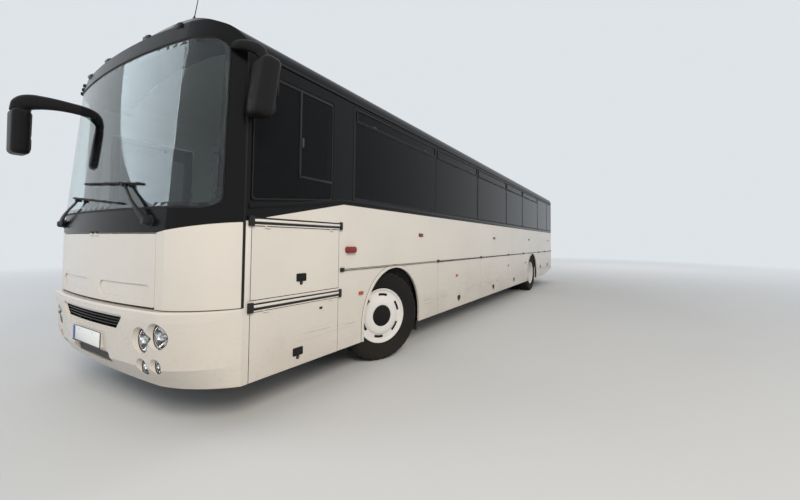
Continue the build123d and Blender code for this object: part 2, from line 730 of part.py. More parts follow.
# Rear wall, engine lid, rear bumper and rear window
REAR_SCREEN = (1010, 1850, 2620, 90)
ENGINE_LID = (960, 905, 1640, 25)
LID_SLOT = (420, 16)
LID_SLOT_PLACES = (480, 1470, 36, 6)
REAR_BUMPER_TOP = 890
ENGINE_LID_HINGES = end_hinges(TAIL, TAIL_Y, ENGINE_LID[2] - LID_SEAM, 1)
with BuildPart() as rear_wall:
    add(tail(0) & body_tube(0, 400, TAIL_Y, TAIL_Y + 2 * REAR_DEPTH))
    add(
        tail(MASK_WALL, 30) & body_tube(ROOF_WALL, 400, TAIL_Y - 30, TAIL_Y + 2 * REAR_DEPTH),
        mode=Mode.SUBTRACT,
    )
    with BuildSketch(Plane.XY.offset(400)):
        with Locations((0, TAIL_Y + REAR_DEPTH)):
            Rectangle(3 * HALF_WIDTH, 3 * REAR_DEPTH)
    extrude(amount=REAR_BUMPER_TOP + SEAM - 400, mode=Mode.SUBTRACT)
    add((tail(0) - tail(PANE)) & rear_box(*REAR_SCREEN), mode=Mode.SUBTRACT)
    add(
        rear_box(REAR_SCREEN[0] - 32, REAR_SCREEN[1] + 32, REAR_SCREEN[2] - 32, 60),
        mode=Mode.SUBTRACT,
    )
    add(rear_box(*ENGINE_LID), mode=Mode.SUBTRACT)
    for point in ENGINE_LID_HINGES[0]:
        add(hinge_ear(point, ENGINE_LID_HINGES[1]))
keep(rear_wall, "rear_wall")

with BuildPart() as rear_window:
    add((tail(0) - tail(PANE)) & rear_box(REAR_SCREEN[0] - 3, REAR_SCREEN[1] + 3, REAR_SCREEN[2] - 3, 88))
keep(rear_window, "rear_window")

with BuildPart() as engine_lid:
    add(
        (tail(0) - tail(LID_WALL))
        & rear_box(ENGINE_LID[0] - LID_SEAM, ENGINE_LID[1] + LID_SEAM, ENGINE_LID[2] - LID_SEAM, 20)
    )
    slot_x, slot_z, slot_pitch, slot_count = LID_SLOT_PLACES
    with BuildSketch(Plane.XZ.offset(-TAIL_Y - REAR_DEPTH - 100)):
        with Locations((0, slot_z)):
            with GridLocations(2 * slot_x, slot_pitch, 2, slot_count):
                SlotOverall(*LID_SLOT)
    extrude(amount=600, mode=Mode.SUBTRACT)
    for point in ENGINE_LID_HINGES[0]:
        add(hinge_barrel(point, ENGINE_LID_HINGES[1]))
keep(engine_lid, "engine_lid")

with BuildPart() as bumper_rear:
    add(tail(0) - tail(MASK_WALL, 30))
    with BuildSketch(Plane.XY.offset(REAR_BUMPER_TOP)):
        with Locations((0, TAIL_Y + REAR_DEPTH)):
            Rectangle(3 * HALF_WIDTH, 3 * REAR_DEPTH)
    extrude(amount=CROWN_Z, mode=Mode.SUBTRACT)
keep(bumper_rear, "bumper_rear")

# Floor of the saloon, the driver's platform, wheel boxes and stairs. Panels that
# meet keep the seat gap between them.
PLATFORM_X = -350
PLATFORM_END = FRONT_WELL[0]
BULKHEAD = Span(-190, -160)
BULKHEAD_X = 1000
BULKHEAD_WALL = 30
DECK_END = along(12100)
DECK_PLATE_Z = (DECK_Z - DECK_PLATE, DECK_Z)
PLATFORM_PLATE_Z = (PLATFORM_Z - DECK_PLATE, PLATFORM_Z)
STAIR_PLATE = 25
Stair = namedtuple("Stair", "start end out_x treads top")
STAIRS = (
    Stair(60, 1000, -WALL_IN_X, ((-890, 385), (-620, 620), (PLATFORM_X, 850)), PLATFORM_PLATE_Z[0]),
    Stair(
        along(6860),
        along(7990),
        -WALL_IN_X,
        ((-950, 385), (-710, 615), (-WELL_IN_X, 845)),
        DECK_PLATE_Z[0],
    ),
)
SIDE_PANELS = (
    (1, (FRONT_WELL[1], REAR_WELL[0])),
    (1, (REAR_WELL[1], DECK_END)),
    (-1, (FRONT_WELL[1], STAIRS[1].start)),
    (-1, (STAIRS[1].end, REAR_WELL[0])),
    (-1, (REAR_WELL[1], DECK_END)),
)


def stair_outline(stair):
    """Side outline of a flight of steps: treads going up towards the middle."""
    upper = [(stair.out_x, stair.treads[0][1])]
    for index, (edge_x, tread_z) in enumerate(stair.treads):
        next_z = stair.treads[index + 1][1] if index + 1 < len(stair.treads) else stair.top
        upper += [(edge_x, tread_z), (edge_x, next_z)]
    upper.append((stair.treads[-1][0] + STAIR_PLATE, stair.top))
    lower = [(x + STAIR_PLATE, z - STAIR_PLATE) for x, z in reversed(upper[1:-1])]
    return upper + lower + [(stair.out_x, stair.treads[0][1] - STAIR_PLATE)]


def well_outline(well, inset):
    """Side outline of a wheel box with sloped corners, open below, inset evenly."""
    start, end = behind(well[0]) + inset, behind(well[1]) - inset
    low, high = DECK_PLATE_Z[0] - inset, WELL_TOP_Z + WELL_PLATE - inset
    with BuildSketch() as outline:
        with BuildLine():
            Polyline(
                (start, low),
                (start, high - WELL_SLOPE),
                (start + WELL_SLOPE, high),
                (end - WELL_SLOPE, high),
                (end, high - WELL_SLOPE),
                (end, low),
                close=True,
            )
        make_face()
    return outline.sketch


with BuildPart() as deck:
    add_panel((-WELL_IN_X, WELL_IN_X), (PLATFORM_END, DECK_END), DECK_PLATE_Z)
    for sign, places in SIDE_PANELS:
        add_panel((sign * (WELL_IN_X + SEAT_GAP), sign * WALL_IN_X), places, DECK_PLATE_Z)
keep(deck, "deck")

with BuildPart() as wheel_boxes:
    for well in (FRONT_WELL, REAR_WELL):
        for sign in (-1, 1):
            with BuildSketch(Plane.YZ.offset(sign * WELL_IN_X)):
                add(well_outline(well, 0))
            extrude(amount=sign * (WALL_IN_X - WELL_IN_X))
            with BuildSketch(Plane.YZ.offset(sign * (WELL_IN_X + WELL_PLATE))):
                add(well_outline(well, WELL_PLATE))
            extrude(amount=sign * (WALL_IN_X - WELL_IN_X), mode=Mode.SUBTRACT)
keep(wheel_boxes, "wheel_boxes")

with BuildPart() as stairs:
    for stair in STAIRS:
        with BuildSketch(Plane.XZ.offset(-behind(stair.start))):
            with BuildLine():
                Polyline(*stair_outline(stair), close=True)
            make_face()
        extrude(amount=stair.start - stair.end)
keep(stairs, "stairs")

with BuildPart() as platform:
    with BuildSketch(Plane.XY.offset(PLATFORM_PLATE_Z[0])):
        with BuildLine():
            Polyline(
                (PLATFORM_X, behind(BULKHEAD.end)),
                (BULKHEAD_X, behind(BULKHEAD.end)),
                (WALL_IN_X, behind(0)),
                (WALL_IN_X, behind(PLATFORM_END - BULKHEAD_WALL)),
                (PLATFORM_X, behind(PLATFORM_END - BULKHEAD_WALL)),
                close=True,
            )
        make_face()
    extrude(amount=DECK_PLATE)
    landing = (STAIRS[0].end, PLATFORM_END - BULKHEAD_WALL)
    add_panel((-WALL_IN_X, PLATFORM_X - SEAT_GAP), landing, PLATFORM_PLATE_Z)
    riser = (PLATFORM_END - BULKHEAD_WALL + SEAT_GAP, PLATFORM_END)
    add_panel((-WALL_IN_X, WALL_IN_X), riser, (PLATFORM_PLATE_Z[0], DECK_Z))
    front = (BULKHEAD.start, BULKHEAD.end - SEAT_GAP)
    add_panel((-BULKHEAD_X, BULKHEAD_X), front, (BAY_FLOOR_Z - BAY_PLATE, WAIST_Z - BULKHEAD_WALL))
keep(platform, "platform")

# Luggage bay between the axles and the driver's locker: floor panels and walls
BAY = Span(FRONT_WELL[1], REAR_WELL[0])
BAY_WALLS = (
    Span(BAY.start, BAY.start + BULKHEAD_WALL),
    Span(FLAP_ENDS[2] - BULKHEAD_WALL / 2, FLAP_ENDS[2] + BULKHEAD_WALL / 2),
    Span(BAY.end - BULKHEAD_WALL, BAY.end),
)
LOCKER = Span(40, 1220)
FLOOR_PLATE_Z = (BAY_FLOOR_Z - BAY_PLATE, BAY_FLOOR_Z)
with BuildPart() as luggage_bay:
    stair = STAIRS[1]
    stair_in_x = stair.treads[0][0] + STAIR_PLATE
    front_wall, middle_wall, rear_wall = BAY_WALLS
    for start, end in (
        (front_wall.end, middle_wall.start - SEAT_GAP),
        (middle_wall.end, stair.start - SEAT_GAP),
        (stair.end, rear_wall.start - SEAT_GAP),
    ):
        add_panel((-WALL_IN_X, WALL_IN_X), (start + SEAT_GAP, end), FLOOR_PLATE_Z)
    add_panel((stair_in_x + SEAT_GAP, WALL_IN_X), (stair.start, stair.end), FLOOR_PLATE_Z)
    for wall in BAY_WALLS:
        add_panel((-WALL_IN_X, WALL_IN_X), wall, (FLOOR_PLATE_Z[0], DECK_PLATE_Z[0]))
    locker_wall = Span(LOCKER.end - BULKHEAD_WALL, LOCKER.end)
    add_panel((RAIL_OUT_X, WALL_IN_X), (LOCKER.start, locker_wall.start - SEAT_GAP), FLOOR_PLATE_Z)
    add_panel((RAIL_OUT_X, WALL_IN_X), locker_wall, (FLOOR_PLATE_Z[0], PLATFORM_PLATE_Z[0]))
keep(luggage_bay, "luggage_bay")

# Chassis in front of the luggage bay and behind it: channel rails with cross members
# between them and posts up to the floor
CHANNEL_WALL = 10
BEAM = 60
FRONT_RAILS = Span(BULKHEAD.end, BAY.start)
REAR_RAILS = Span(BAY.end, along(12060))
CROSS_PLACES = (
    (FRONT_RAILS.start, 1080, FRONT_RAILS.end - BEAM),
    (REAR_RAILS.start, along(9970), REAR_RAILS.end - BEAM),
)
POSTS = ((1080, PLATFORM_PLATE_Z[0]), (along(9970), DECK_PLATE_Z[0]), (REAR_RAILS.end - BEAM, DECK_PLATE_Z[0]))


def add_channel(plane, opens, wide, length):
    """Add a channel of the rails' height along a plane's normal, open to one side."""
    height = RAIL_HIGH_Z - RAIL_LOW_Z
    with BuildSketch(plane) as section:
        Rectangle(wide, height)
        with Locations((opens * CHANNEL_WALL, 0)):
            Rectangle(wide, height - 2 * CHANNEL_WALL, mode=Mode.SUBTRACT)
    extrude(section.sketch, amount=length)


with BuildPart() as chassis:
    rail_z = (RAIL_LOW_Z + RAIL_HIGH_Z) / 2
    for rails, crosses in zip((FRONT_RAILS, REAR_RAILS), CROSS_PLACES):
        for sign in (-1, 1):
            origin = (sign * (RAIL_IN_X + RAIL_OUT_X) / 2, behind(rails.end), rail_z)
            plane = Plane(origin=origin, x_dir=(1, 0, 0), z_dir=(0, -1, 0))
            add_channel(plane, -sign, RAIL_OUT_X - RAIL_IN_X, rails.end - rails.start)
        for place in crosses:
            origin = (SEAT_GAP - RAIL_IN_X, behind(place + BEAM / 2), rail_z)
            plane = Plane(origin=origin, x_dir=(0, 1, 0), z_dir=(1, 0, 0))
            add_channel(plane, 1, BEAM, 2 * (RAIL_IN_X - SEAT_GAP))
    for place, top_z in POSTS:
        for sign in (-1, 1):
            x_ends = (sign * RAIL_IN_X, sign * RAIL_OUT_X)
            add_panel(x_ends, (place, place + BEAM), (RAIL_HIGH_Z + SEAT_GAP, top_z))
keep(chassis, "chassis")

# Engine: one plain block between the rear rails
ENGINE = Span(along(10250), along(11850))
ENGINE_Z = (480, 980)
with BuildPart() as engine:
    add_panel((-RAIL_IN_X, RAIL_IN_X), ENGINE, ENGINE_Z)
    fillet(edges().filter_by(Axis.Z), 40)
keep(engine, "engine")

# Axles
AXLE_Z = TYRE_RADIUS
BEAM_END_X = KINGPIN_X - 40
with BuildPart() as axle_front:
    with BuildSketch(Plane.XZ.offset(-behind(FRONT_AXLE) + 45)):
        with BuildLine():
            Polyline(
                (-BEAM_END_X, AXLE_Z - 45),
                (-BEAM_END_X, AXLE_Z + 45),
                (-700, AXLE_Z + 45),
                (-560, AXLE_Z - 20),
                (560, AXLE_Z - 20),
                (700, AXLE_Z + 45),
                (BEAM_END_X, AXLE_Z + 45),
                (BEAM_END_X, AXLE_Z - 45),
                (720, AXLE_Z - 45),
                (590, AXLE_Z - 115),
                (-590, AXLE_Z - 115),
                (-720, AXLE_Z - 45),
                close=True,
            )
        make_face()
    extrude(amount=-90)
    for sign in (-1, 1):
        with BuildSketch(Plane.XY.offset(AXLE_Z - 70)):
            with Locations((sign * KINGPIN_X, behind(FRONT_AXLE))):
                Circle(55)
                Circle(25.3, mode=Mode.SUBTRACT)
        extrude(amount=140)
        with BuildSketch(Plane.XY.offset(AXLE_Z - 20)):
            with Locations((sign * (RAIL_IN_X + RAIL_OUT_X) / 2, behind(FRONT_AXLE))):
                Circle(110)
        extrude(amount=RAIL_LOW_Z - AXLE_Z + 20)
keep(axle_front, "axle_front")

AXLE_END_X = 630
HOUSING = ((AXLE_END_X, 58), (560, 58), (540, 75), (260, 82), (190, 165), (90, 205))
BELLOWS = 280
with BuildPart() as axle_rear:
    with BuildSketch(Plane.XY.offset(AXLE_Z)):
        with BuildLine():
            right = [(x, behind(REAR_AXLE) + radius) for x, radius in HOUSING]
            left = [(-x, behind(REAR_AXLE) + radius) for x, radius in reversed(HOUSING)]
            ends = [(-AXLE_END_X, behind(REAR_AXLE)), (AXLE_END_X, behind(REAR_AXLE))]
            Polyline(*right, *left, *ends, close=True)
        make_face()
    revolve(axis=Axis((0, behind(REAR_AXLE), AXLE_Z), (1, 0, 0)))
    for sign in (-1, 1):
        with BuildSketch(Plane.XY.offset(AXLE_Z - 100)):
            with Locations((sign * (RAIL_IN_X + RAIL_OUT_X) / 2, behind(REAR_AXLE))):
                Rectangle(110, 2 * BELLOWS + 160)
        extrude(amount=45)
        for step in (-BELLOWS, BELLOWS):
            with BuildSketch(Plane.XY.offset(AXLE_Z - 55)):
                with Locations((sign * (RAIL_IN_X + RAIL_OUT_X) / 2, behind(REAR_AXLE + step))):
                    Circle(115)
            extrude(amount=RAIL_LOW_Z - AXLE_Z + 55)
keep(axle_rear, "axle_rear")

# Steering knuckles, tyres and rims
STUB_X = 115
HUB_RADIUS = 95


def steered(sign):
    """Plane through the front wheel's axle on one side: X outboard, Y up, as it stands in the photo."""
    turn = radians(REST_STEER)
    out = Vector(sign * cos(turn), sign * sin(turn), 0)
    return Plane(
        origin=(sign * KINGPIN_X, behind(FRONT_AXLE), AXLE_Z), x_dir=out, z_dir=out.cross(Vector(0, 0, 1))
    )


def straight(sign):
    """Plane through the rear axle on one side: X outboard from the coach's middle, Y up."""
    out = Vector(sign, 0, 0)
    return Plane(origin=(0, behind(REAR_AXLE), AXLE_Z), x_dir=out, z_dir=out.cross(Vector(0, 0, 1)))


# Half section of a tyre: distance from its middle and radius, from the bead to the tread
TYRE_SECTION = (
    (112, RIM_RADIUS + SEAT_GAP),
    (112, RIM_RADIUS + 18),
    (TYRE_WIDTH / 2 - 10, 352),
    (TYRE_WIDTH / 2, 408),
    (TYRE_WIDTH / 2 - 5, TYRE_RADIUS - 30),
    (TYRE_WIDTH / 2 - 18, TYRE_RADIUS - 6),
    (TYRE_WIDTH / 2 - 60, TYRE_RADIUS),
)


def tyre_outline(centre):
    """Half section of a tyre, centred across its width."""
    outer = [(centre + across, radius) for across, radius in TYRE_SECTION]
    inner = [(centre - across, radius) for across, radius in reversed(TYRE_SECTION)]
    with BuildSketch() as outline:
        with BuildLine():
            Polyline(*outer, *inner, close=True)
        make_face()
    return outline.sketch


def rim_outline(centre, disc, bore):
    """Half section of a rim: barrel with flanges, and a disc at an offset from the centre."""
    with BuildSketch() as outline:
        with BuildLine():
            Polyline(
                (centre - 126, FLANGE_RADIUS),
                (centre - 114, FLANGE_RADIUS),
                (centre - 114, RIM_RADIUS),
                (centre + 114, RIM_RADIUS),
                (centre + 114, FLANGE_RADIUS),
                (centre + 126, FLANGE_RADIUS),
                (centre + 126, RIM_RADIUS - 14),
                (centre + disc + 6, RIM_RADIUS - 18),
                (centre + disc + 6, bore),
                (centre + disc - 6, bore),
                (centre + disc - 6, RIM_RADIUS - 18),
                (centre - 126, RIM_RADIUS - 14),
                close=True,
            )
        make_face()
    return outline.sketch


for side_name, sign in (("left", 1), ("right", -1)):
    plane = steered(sign)
    spin = Axis(plane.origin, plane.x_dir)
    centre = WHEEL_X - KINGPIN_X
    with BuildPart() as knuckle:
        with BuildSketch(Plane.XY.offset(AXLE_Z - 130)):
            with Locations((sign * KINGPIN_X, behind(FRONT_AXLE))):
                Circle(25)
        extrude(amount=260)
        with BuildSketch(plane):
            with BuildLine():
                Polyline(
                    (-35, 130), (75, 130), (75, -130), (-35, -130), (-35, -80), (60, -80), (60, 80), (-35, 80),
                    close=True,
                )
            make_face()
        extrude(amount=40, both=True)
        with BuildSketch(Plane(origin=plane.origin + plane.x_dir * 75, z_dir=plane.x_dir)):
            Circle(45)
        extrude(amount=STUB_X)
    keep(knuckle, f"knuckle_{side_name}")

    with BuildPart() as tyre:
        with BuildSketch(plane):
            add(tyre_outline(centre))
        revolve(axis=spin)
    keep(tyre, f"tyre_front_{side_name}")

    with BuildPart() as rim:
        with BuildSketch(plane):
            add(rim_outline(centre, 100, 45.3))
        revolve(axis=spin)
        with BuildSketch(Plane(origin=plane.origin + plane.x_dir * (centre + 94), z_dir=plane.x_dir)):
            with PolarLocations(237, 6, start_angle=90):
                SlotOverall(105, 26, rotation=90)
        extrude(amount=12, mode=Mode.SUBTRACT)
        with BuildSketch(Plane(origin=plane.origin + plane.x_dir * 95, z_dir=plane.x_dir)):
            Circle(HUB_RADIUS)
            Circle(45.3, mode=Mode.SUBTRACT)
        extrude(amount=centre + 100 - 95)
        with BuildSketch(Plane(origin=plane.origin + plane.x_dir * (centre + 100), z_dir=plane.x_dir)):
            Circle(118)
        extrude(amount=40, taper=35)
    keep(rim, f"rim_front_{side_name}")

    plane = straight(sign)
    spin = Axis(plane.origin, plane.x_dir)
    with BuildPart() as tyres:
        with BuildSketch(plane):
            add(tyre_outline(TWIN_IN_X))
            add(tyre_outline(WHEEL_X))
        revolve(axis=spin)
    keep(tyres, f"tyres_rear_{side_name}")

    with BuildPart() as rims:
        with BuildSketch(plane):
            add(rim_outline(TWIN_IN_X, 100, HUB_RADIUS))
            add(rim_outline(WHEEL_X, -100, HUB_RADIUS))
        revolve(axis=spin)
        hub_x = AXLE_END_X + SEAT_GAP
        for radius, end_x in ((HUB_RADIUS + 5, WHEEL_X + 60), (150, TWIN_IN_X + 60)):
            with BuildSketch(Plane(origin=plane.origin + plane.x_dir * hub_x, z_dir=plane.x_dir)):
                Circle(radius)
            extrude(amount=end_x - hub_x)
    keep(rims, f"rims_rear_{side_name}")

# Passenger seats: one profile along each row of places
SEAT_PITCH = 755
SEAT_FIRST = 1720
BENCH_PLACE = along(11420)
SEAT_ROWS = int((BENCH_PLACE - SEAT_FIRST) / SEAT_PITCH)
SEAT_IN_X = 275
SEAT_OUT_X = 1180


def seat_points(place, floor_z):
    """Side outline of a seat facing forward, its back leaning to the rear."""
    y = behind(place)
    return (
        (y + 60, floor_z),
        (y + 60, floor_z + 270),
        (y - 20, floor_z + 300),
        (y - 20, floor_z + 430),
        (y + 380, floor_z + 400),
        (y + 560, floor_z + 1080),
        (y + 650, floor_z + 1070),
        (y + 470, floor_z + 330),
        (y + 380, floor_z + 260),
        (y + 380, floor_z),
    )


for side_name, sign in (("left", 1), ("right", -1)):
    with BuildPart() as seats:
        for row in range(SEAT_ROWS):
            place = SEAT_FIRST + row * SEAT_PITCH
            if sign < 0 and STAIRS[1].start - 700 < place < STAIRS[1].end:
                continue
            with BuildSketch(Plane.YZ.offset(sign * SEAT_IN_X)):
                with BuildLine():
                    Polyline(*seat_points(place, DECK_Z), close=True)
                make_face()
            extrude(amount=sign * (SEAT_OUT_X - SEAT_IN_X))
        for well in (FRONT_WELL, REAR_WELL):
            box_z = (DECK_Z, WELL_TOP_Z + WELL_PLATE)
            add_panel((sign * WELL_IN_X, sign * WALL_IN_X), well, box_z, Mode.SUBTRACT)
    keep(seats, f"seats_{side_name}")

with BuildPart() as seat_bench:
    with BuildSketch(Plane.YZ.offset(-SEAT_OUT_X)):
        with BuildLine():
            Polyline(*seat_points(BENCH_PLACE, DECK_Z), close=True)
        make_face()
    extrude(amount=2 * SEAT_OUT_X)
keep(seat_bench, "seat_bench")

with BuildPart() as driver_seat:
    with BuildSketch(Plane.YZ.offset(470)):
        with BuildLine():
            Polyline(*seat_points(640, PLATFORM_Z), close=True)
        make_face()
    extrude(amount=480)
keep(driver_seat, "driver_seat")

# Dashboard with the side console and the steering column
CONSOLE_X = 1060
COLUMN_FOOT = (700, behind(150), 1440)
STEERING_HUB = (700, behind(330), 1640)
with BuildPart() as dashboard:
    with BuildSketch(Plane.YZ.offset(PLATFORM_X)):
        with BuildLine():
            Polyline(
                (behind(BULKHEAD.end), PLATFORM_Z),
                (behind(BULKHEAD.end), 1500),
                (behind(120), 1520),
                (behind(250), 1440),
                (behind(230), 1330),
                (behind(60), 1240),
                (behind(20), PLATFORM_Z),
                close=True,
            )
        make_face()
    extrude(amount=CONSOLE_X - PLATFORM_X)
    with BuildSketch(Plane.YZ.offset(CONSOLE_X)):
        with BuildLine():
            Polyline(
                (behind(20), PLATFORM_Z), (behind(20), 1475), (behind(1040), 1475), (behind(1040), PLATFORM_Z),
                close=True,
            )
        make_face()
    extrude(amount=25)
    with BuildSketch(Plane.XY.offset(1460)):
        with Locations(((CONSOLE_X + WALL_IN_X) / 2, behind(530))):
            Rectangle(WALL_IN_X - CONSOLE_X, 1020)
    extrude(amount=25)
    column = Vector(*STEERING_HUB) - Vector(*COLUMN_FOOT)
    with BuildSketch(Plane(origin=COLUMN_FOOT, z_dir=column.normalized())):
        Circle(42)
    extrude(amount=column.length - 45)
keep(dashboard, "dashboard")

with BuildPart() as steering_wheel:
    hub_plane = Plane(origin=STEERING_HUB, z_dir=column.normalized())
    with BuildSketch(hub_plane.offset(-44)):
        Circle(30)
    extrude(amount=50)
    with BuildSketch(hub_plane.offset(-12)):
        with PolarLocations(112, 4):
            Rectangle(200, 38)
        Circle(75)
    extrude(amount=18)
    with BuildSketch(Plane(origin=STEERING_HUB, x_dir=hub_plane.x_dir, z_dir=hub_plane.y_dir)):
        with Locations((222, 0)):
            RegularPolygon(16, 8)
    revolve(axis=Axis(STEERING_HUB, column))
keep(steering_wheel, "steering_wheel")

# Luggage racks over the seats
Rack = namedtuple("Rack", "sign start end")
RACK_ENDS = (1300, along(11900))
RACKS = (
    Rack(1, RACK_ENDS[0], RACK_ENDS[1]),
    Rack(-1, RACK_ENDS[0], DOOR_MIDDLE.start - 110),
    Rack(-1, DOOR_MIDDLE.end + 110, RACK_ENDS[1]),
)
with BuildPart() as racks:
    for rack in RACKS:
        with BuildSketch(Plane.XZ.offset(-behind(rack.start))):
            with BuildLine():
                Polyline(
                    (rack.sign * WALL_IN_X, 2400),
                    (rack.sign * 860, 2440),
                    (rack.sign * 840, 2510),
                    (rack.sign * 870, 2510),
                    (rack.sign * 880, 2470),
                    (rack.sign * WALL_IN_X, 2430),
                    close=True,
                )
            make_face()
        extrude(amount=rack.start - rack.end)
keep(racks, "racks")

# Mirrors: rounded housings hanging on swan-neck arms from the header. Places are
# outboard of the middle, behind the seam and above the ground.
MIRROR_ARM = 55
ARM_BEND = 90
HOUSING_EDGE = 30
Mirror = namedtuple("Mirror", "sign root bend elbow head width depth height")
MIRRORS = (
    Mirror(1, (1130, -40, 2740), (1290, -110, 2775), (1400, -40, 2760), (1405, -20, 2430), 210, 160, 470),
    Mirror(-1, (1100, -130, 2735), (1215, -430, 2765), (1315, -610, 2750), (1320, -620, 2360), 230, 140, 470),
)
with BuildPart() as mirrors:
    for mirror in MIRRORS:
        neck = (mirror.head[0], mirror.head[1], mirror.head[2] + mirror.height / 2 - 40)
        stops = []
        for stop in (mirror.root, mirror.bend, mirror.elbow, neck):
            stops.append(Vector(mirror.sign * stop[0], behind(stop[1]), stop[2]))
        with BuildLine() as arm_path:
            FilletPolyline(*stops, radius=ARM_BEND)
        with BuildSketch(Plane(origin=stops[0], z_dir=(stops[1] - stops[0]).normalized())):
            Circle(MIRROR_ARM)
        sweep(path=arm_path.line)
        with BuildPart(mode=Mode.PRIVATE) as housing:
            with BuildSketch(Plane.XY.offset(mirror.head[2] - mirror.height / 2)):
                with Locations((mirror.sign * mirror.head[0], behind(mirror.head[1]))):
                    RectangleRounded(mirror.width, mirror.depth, 50)
            extrude(amount=mirror.height)
            fillet(housing.faces().filter_by(Axis.Z).edges(), HOUSING_EDGE)
        add(housing.part)
    add(header_form(-SEAT_GAP), mode=Mode.SUBTRACT)
keep(mirrors, "mirrors")

# Wipers: arms on pivots below the screen, blades along the glass
Wiper = namedtuple("Wiper", "pivot tip blade_start blade_end")
WIPERS = (
    Wiper((775, 1466), (448, 1740), (-321, 1802), (621, 1740)),
    Wiper((-940, 1475), (-400, 1668), (-603, 1700), (398, 1605)),
)
with BuildPart() as wipers:
    for wiper in WIPERS:
        for start, end, width, lift in (
            (wiper.pivot, wiper.tip, 34, 42),
            (wiper.blade_start, wiper.blade_end, 26, 30),
        ):
            foot = Vector(start[0], nose_y(NOSE, start[0], start[1]) - lift, start[1])
            tip = Vector(end[0], nose_y(NOSE, end[0], end[1]) - lift, end[1])
            run = tip - foot
            with BuildSketch(Plane(origin=foot, x_dir=Vector(0, 1, 0), z_dir=run.normalized())):
                Rectangle(22, width)
            extrude(amount=run.length)
        pivot_y = nose_y(NOSE, *wiper.pivot)
        with BuildSketch(Plane.XZ.offset(-pivot_y + 55)):
            with Locations(wiper.pivot):
                Circle(32)
        extrude(amount=-80)
        tip_y = nose_y(NOSE, *wiper.tip)
        with BuildSketch(Plane.XZ.offset(-tip_y + 50)):
            with Locations(wiper.tip):
                Circle(20)
        extrude(amount=-35)
    add(nose(-SEAT_GAP), mode=Mode.SUBTRACT)
keep(wipers, "wipers")

# Tail lamps
with BuildPart() as lamps_rear:
    for sign in (-1, 1):
        with BuildSketch(Plane.XZ.offset(-TAIL_Y - REAR_DEPTH)):
            with Locations((sign * 1080, 1180)):
                RectangleRounded(120, 420, 20)
        extrude(amount=75)
    add(tail(-SEAT_GAP), mode=Mode.SUBTRACT)
keep(lamps_rear, "lamps_rear")

# Passenger doors: leaf with its pane, and the post with two bowed arms that carries it
ARM_LENGTH = 480
ARM_BOW = 140
POST_INSET = 34
POST_RADIUS = 20
ARM_X = 1165
ARM_HEIGHTS = (560, 2400)
PIN_RADIUS = 12
Door = namedtuple("Door", "name span post_sign")
DOORS = (Door("front", DOOR_FRONT, 1), Door("middle", DOOR_MIDDLE, -1))
for door in DOORS:
    start_y, end_y = behind(door.span.start), behind(door.span.end)
    with BuildPart() as leaf:
        with BuildSketch(Plane.YZ.offset(-HALF_WIDTH)):
            span_rectangle(door.span.start, door.span.end, DOOR_LOW_Z, DOOR_HIGH_Z)
        extrude(amount=DOOR_WALL)
        with BuildSketch(Plane.YZ.offset(-HALF_WIDTH)):
            span_rectangle(door.span.start, door.span.end, *DOOR_GLASS_Z, -DOOR_BORDER / 2)
        extrude(amount=PANE, mode=Mode.SUBTRACT)
        with BuildSketch(Plane.YZ.offset(-HALF_WIDTH)):
            span_rectangle(door.span.start, door.span.end, *DOOR_GLASS_Z, -DOOR_BORDER)
        extrude(amount=DOOR_WALL, mode=Mode.SUBTRACT)
        post_y = start_y + POST_INSET if door.post_sign > 0 else end_y - POST_INSET
        pin_y = post_y + door.post_sign * ARM_LENGTH
        for arm_z in ARM_HEIGHTS:
            with BuildSketch(Plane.XY.offset(arm_z + 20)):
                with Locations((-(ARM_X + WALL_IN_X) / 2 - 5, pin_y)):
                    Rectangle(WALL_IN_X - ARM_X + 30, 60)
                with Locations((-ARM_X, pin_y)):
                    Circle(30)
                    Circle(PIN_RADIUS + SEAT_GAP, mode=Mode.SUBTRACT)
            extrude(amount=16)
    keep(leaf, f"door_{door.name}")

    with BuildPart() as door_glass:
        with BuildSketch(Plane.YZ.offset(-HALF_WIDTH)):
            span_rectangle(door.span.start, door.span.end, *DOOR_GLASS_Z, -DOOR_BORDER / 2 - 2)
        extrude(amount=PANE)
    keep(door_glass, f"door_{door.name}_glass")

    with BuildPart() as arms:
        post_z = STAIRS[0].treads[0][1] + SEAT_GAP
        with BuildSketch(Plane.XY.offset(post_z)):
            with Locations((-ARM_X, post_y)):
                Circle(POST_RADIUS)
        extrude(amount=ARM_HEIGHTS[1] + 40 - post_z)
        for arm_z in ARM_HEIGHTS:
            with BuildSketch(Plane.XY.offset(arm_z - 15)):
                with BuildLine() as bow:
                    FilletPolyline(
                        (-ARM_X, post_y),
                        (-ARM_X + ARM_BOW, post_y + door.post_sign * 20),
                        (-ARM_X + ARM_BOW, pin_y - door.post_sign * 60),
                        (-ARM_X, pin_y),
                        radius=50,
                    )
                trace(bow.line, line_width=30)
            extrude(amount=30)
            with BuildSketch(Plane.XY.offset(arm_z - 15)):
                with Locations((-ARM_X, pin_y)):
                    Circle(PIN_RADIUS)
            extrude(amount=55)
    keep(arms, f"door_{door.name}_arms")

for name, (points, _) in (("front lid", FRONT_LID_HINGES), ("engine lid", ENGINE_LID_HINGES)):
    print(name, "hinge axis at", [round(value, 2) for value in points[0]])
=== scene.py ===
import json
import logging
import math
from dataclasses import dataclass
from enum import Enum
from typing import Callable, Optional, Sequence

import bmesh
import bpy
from mathutils import Matrix, Quaternion, Vector


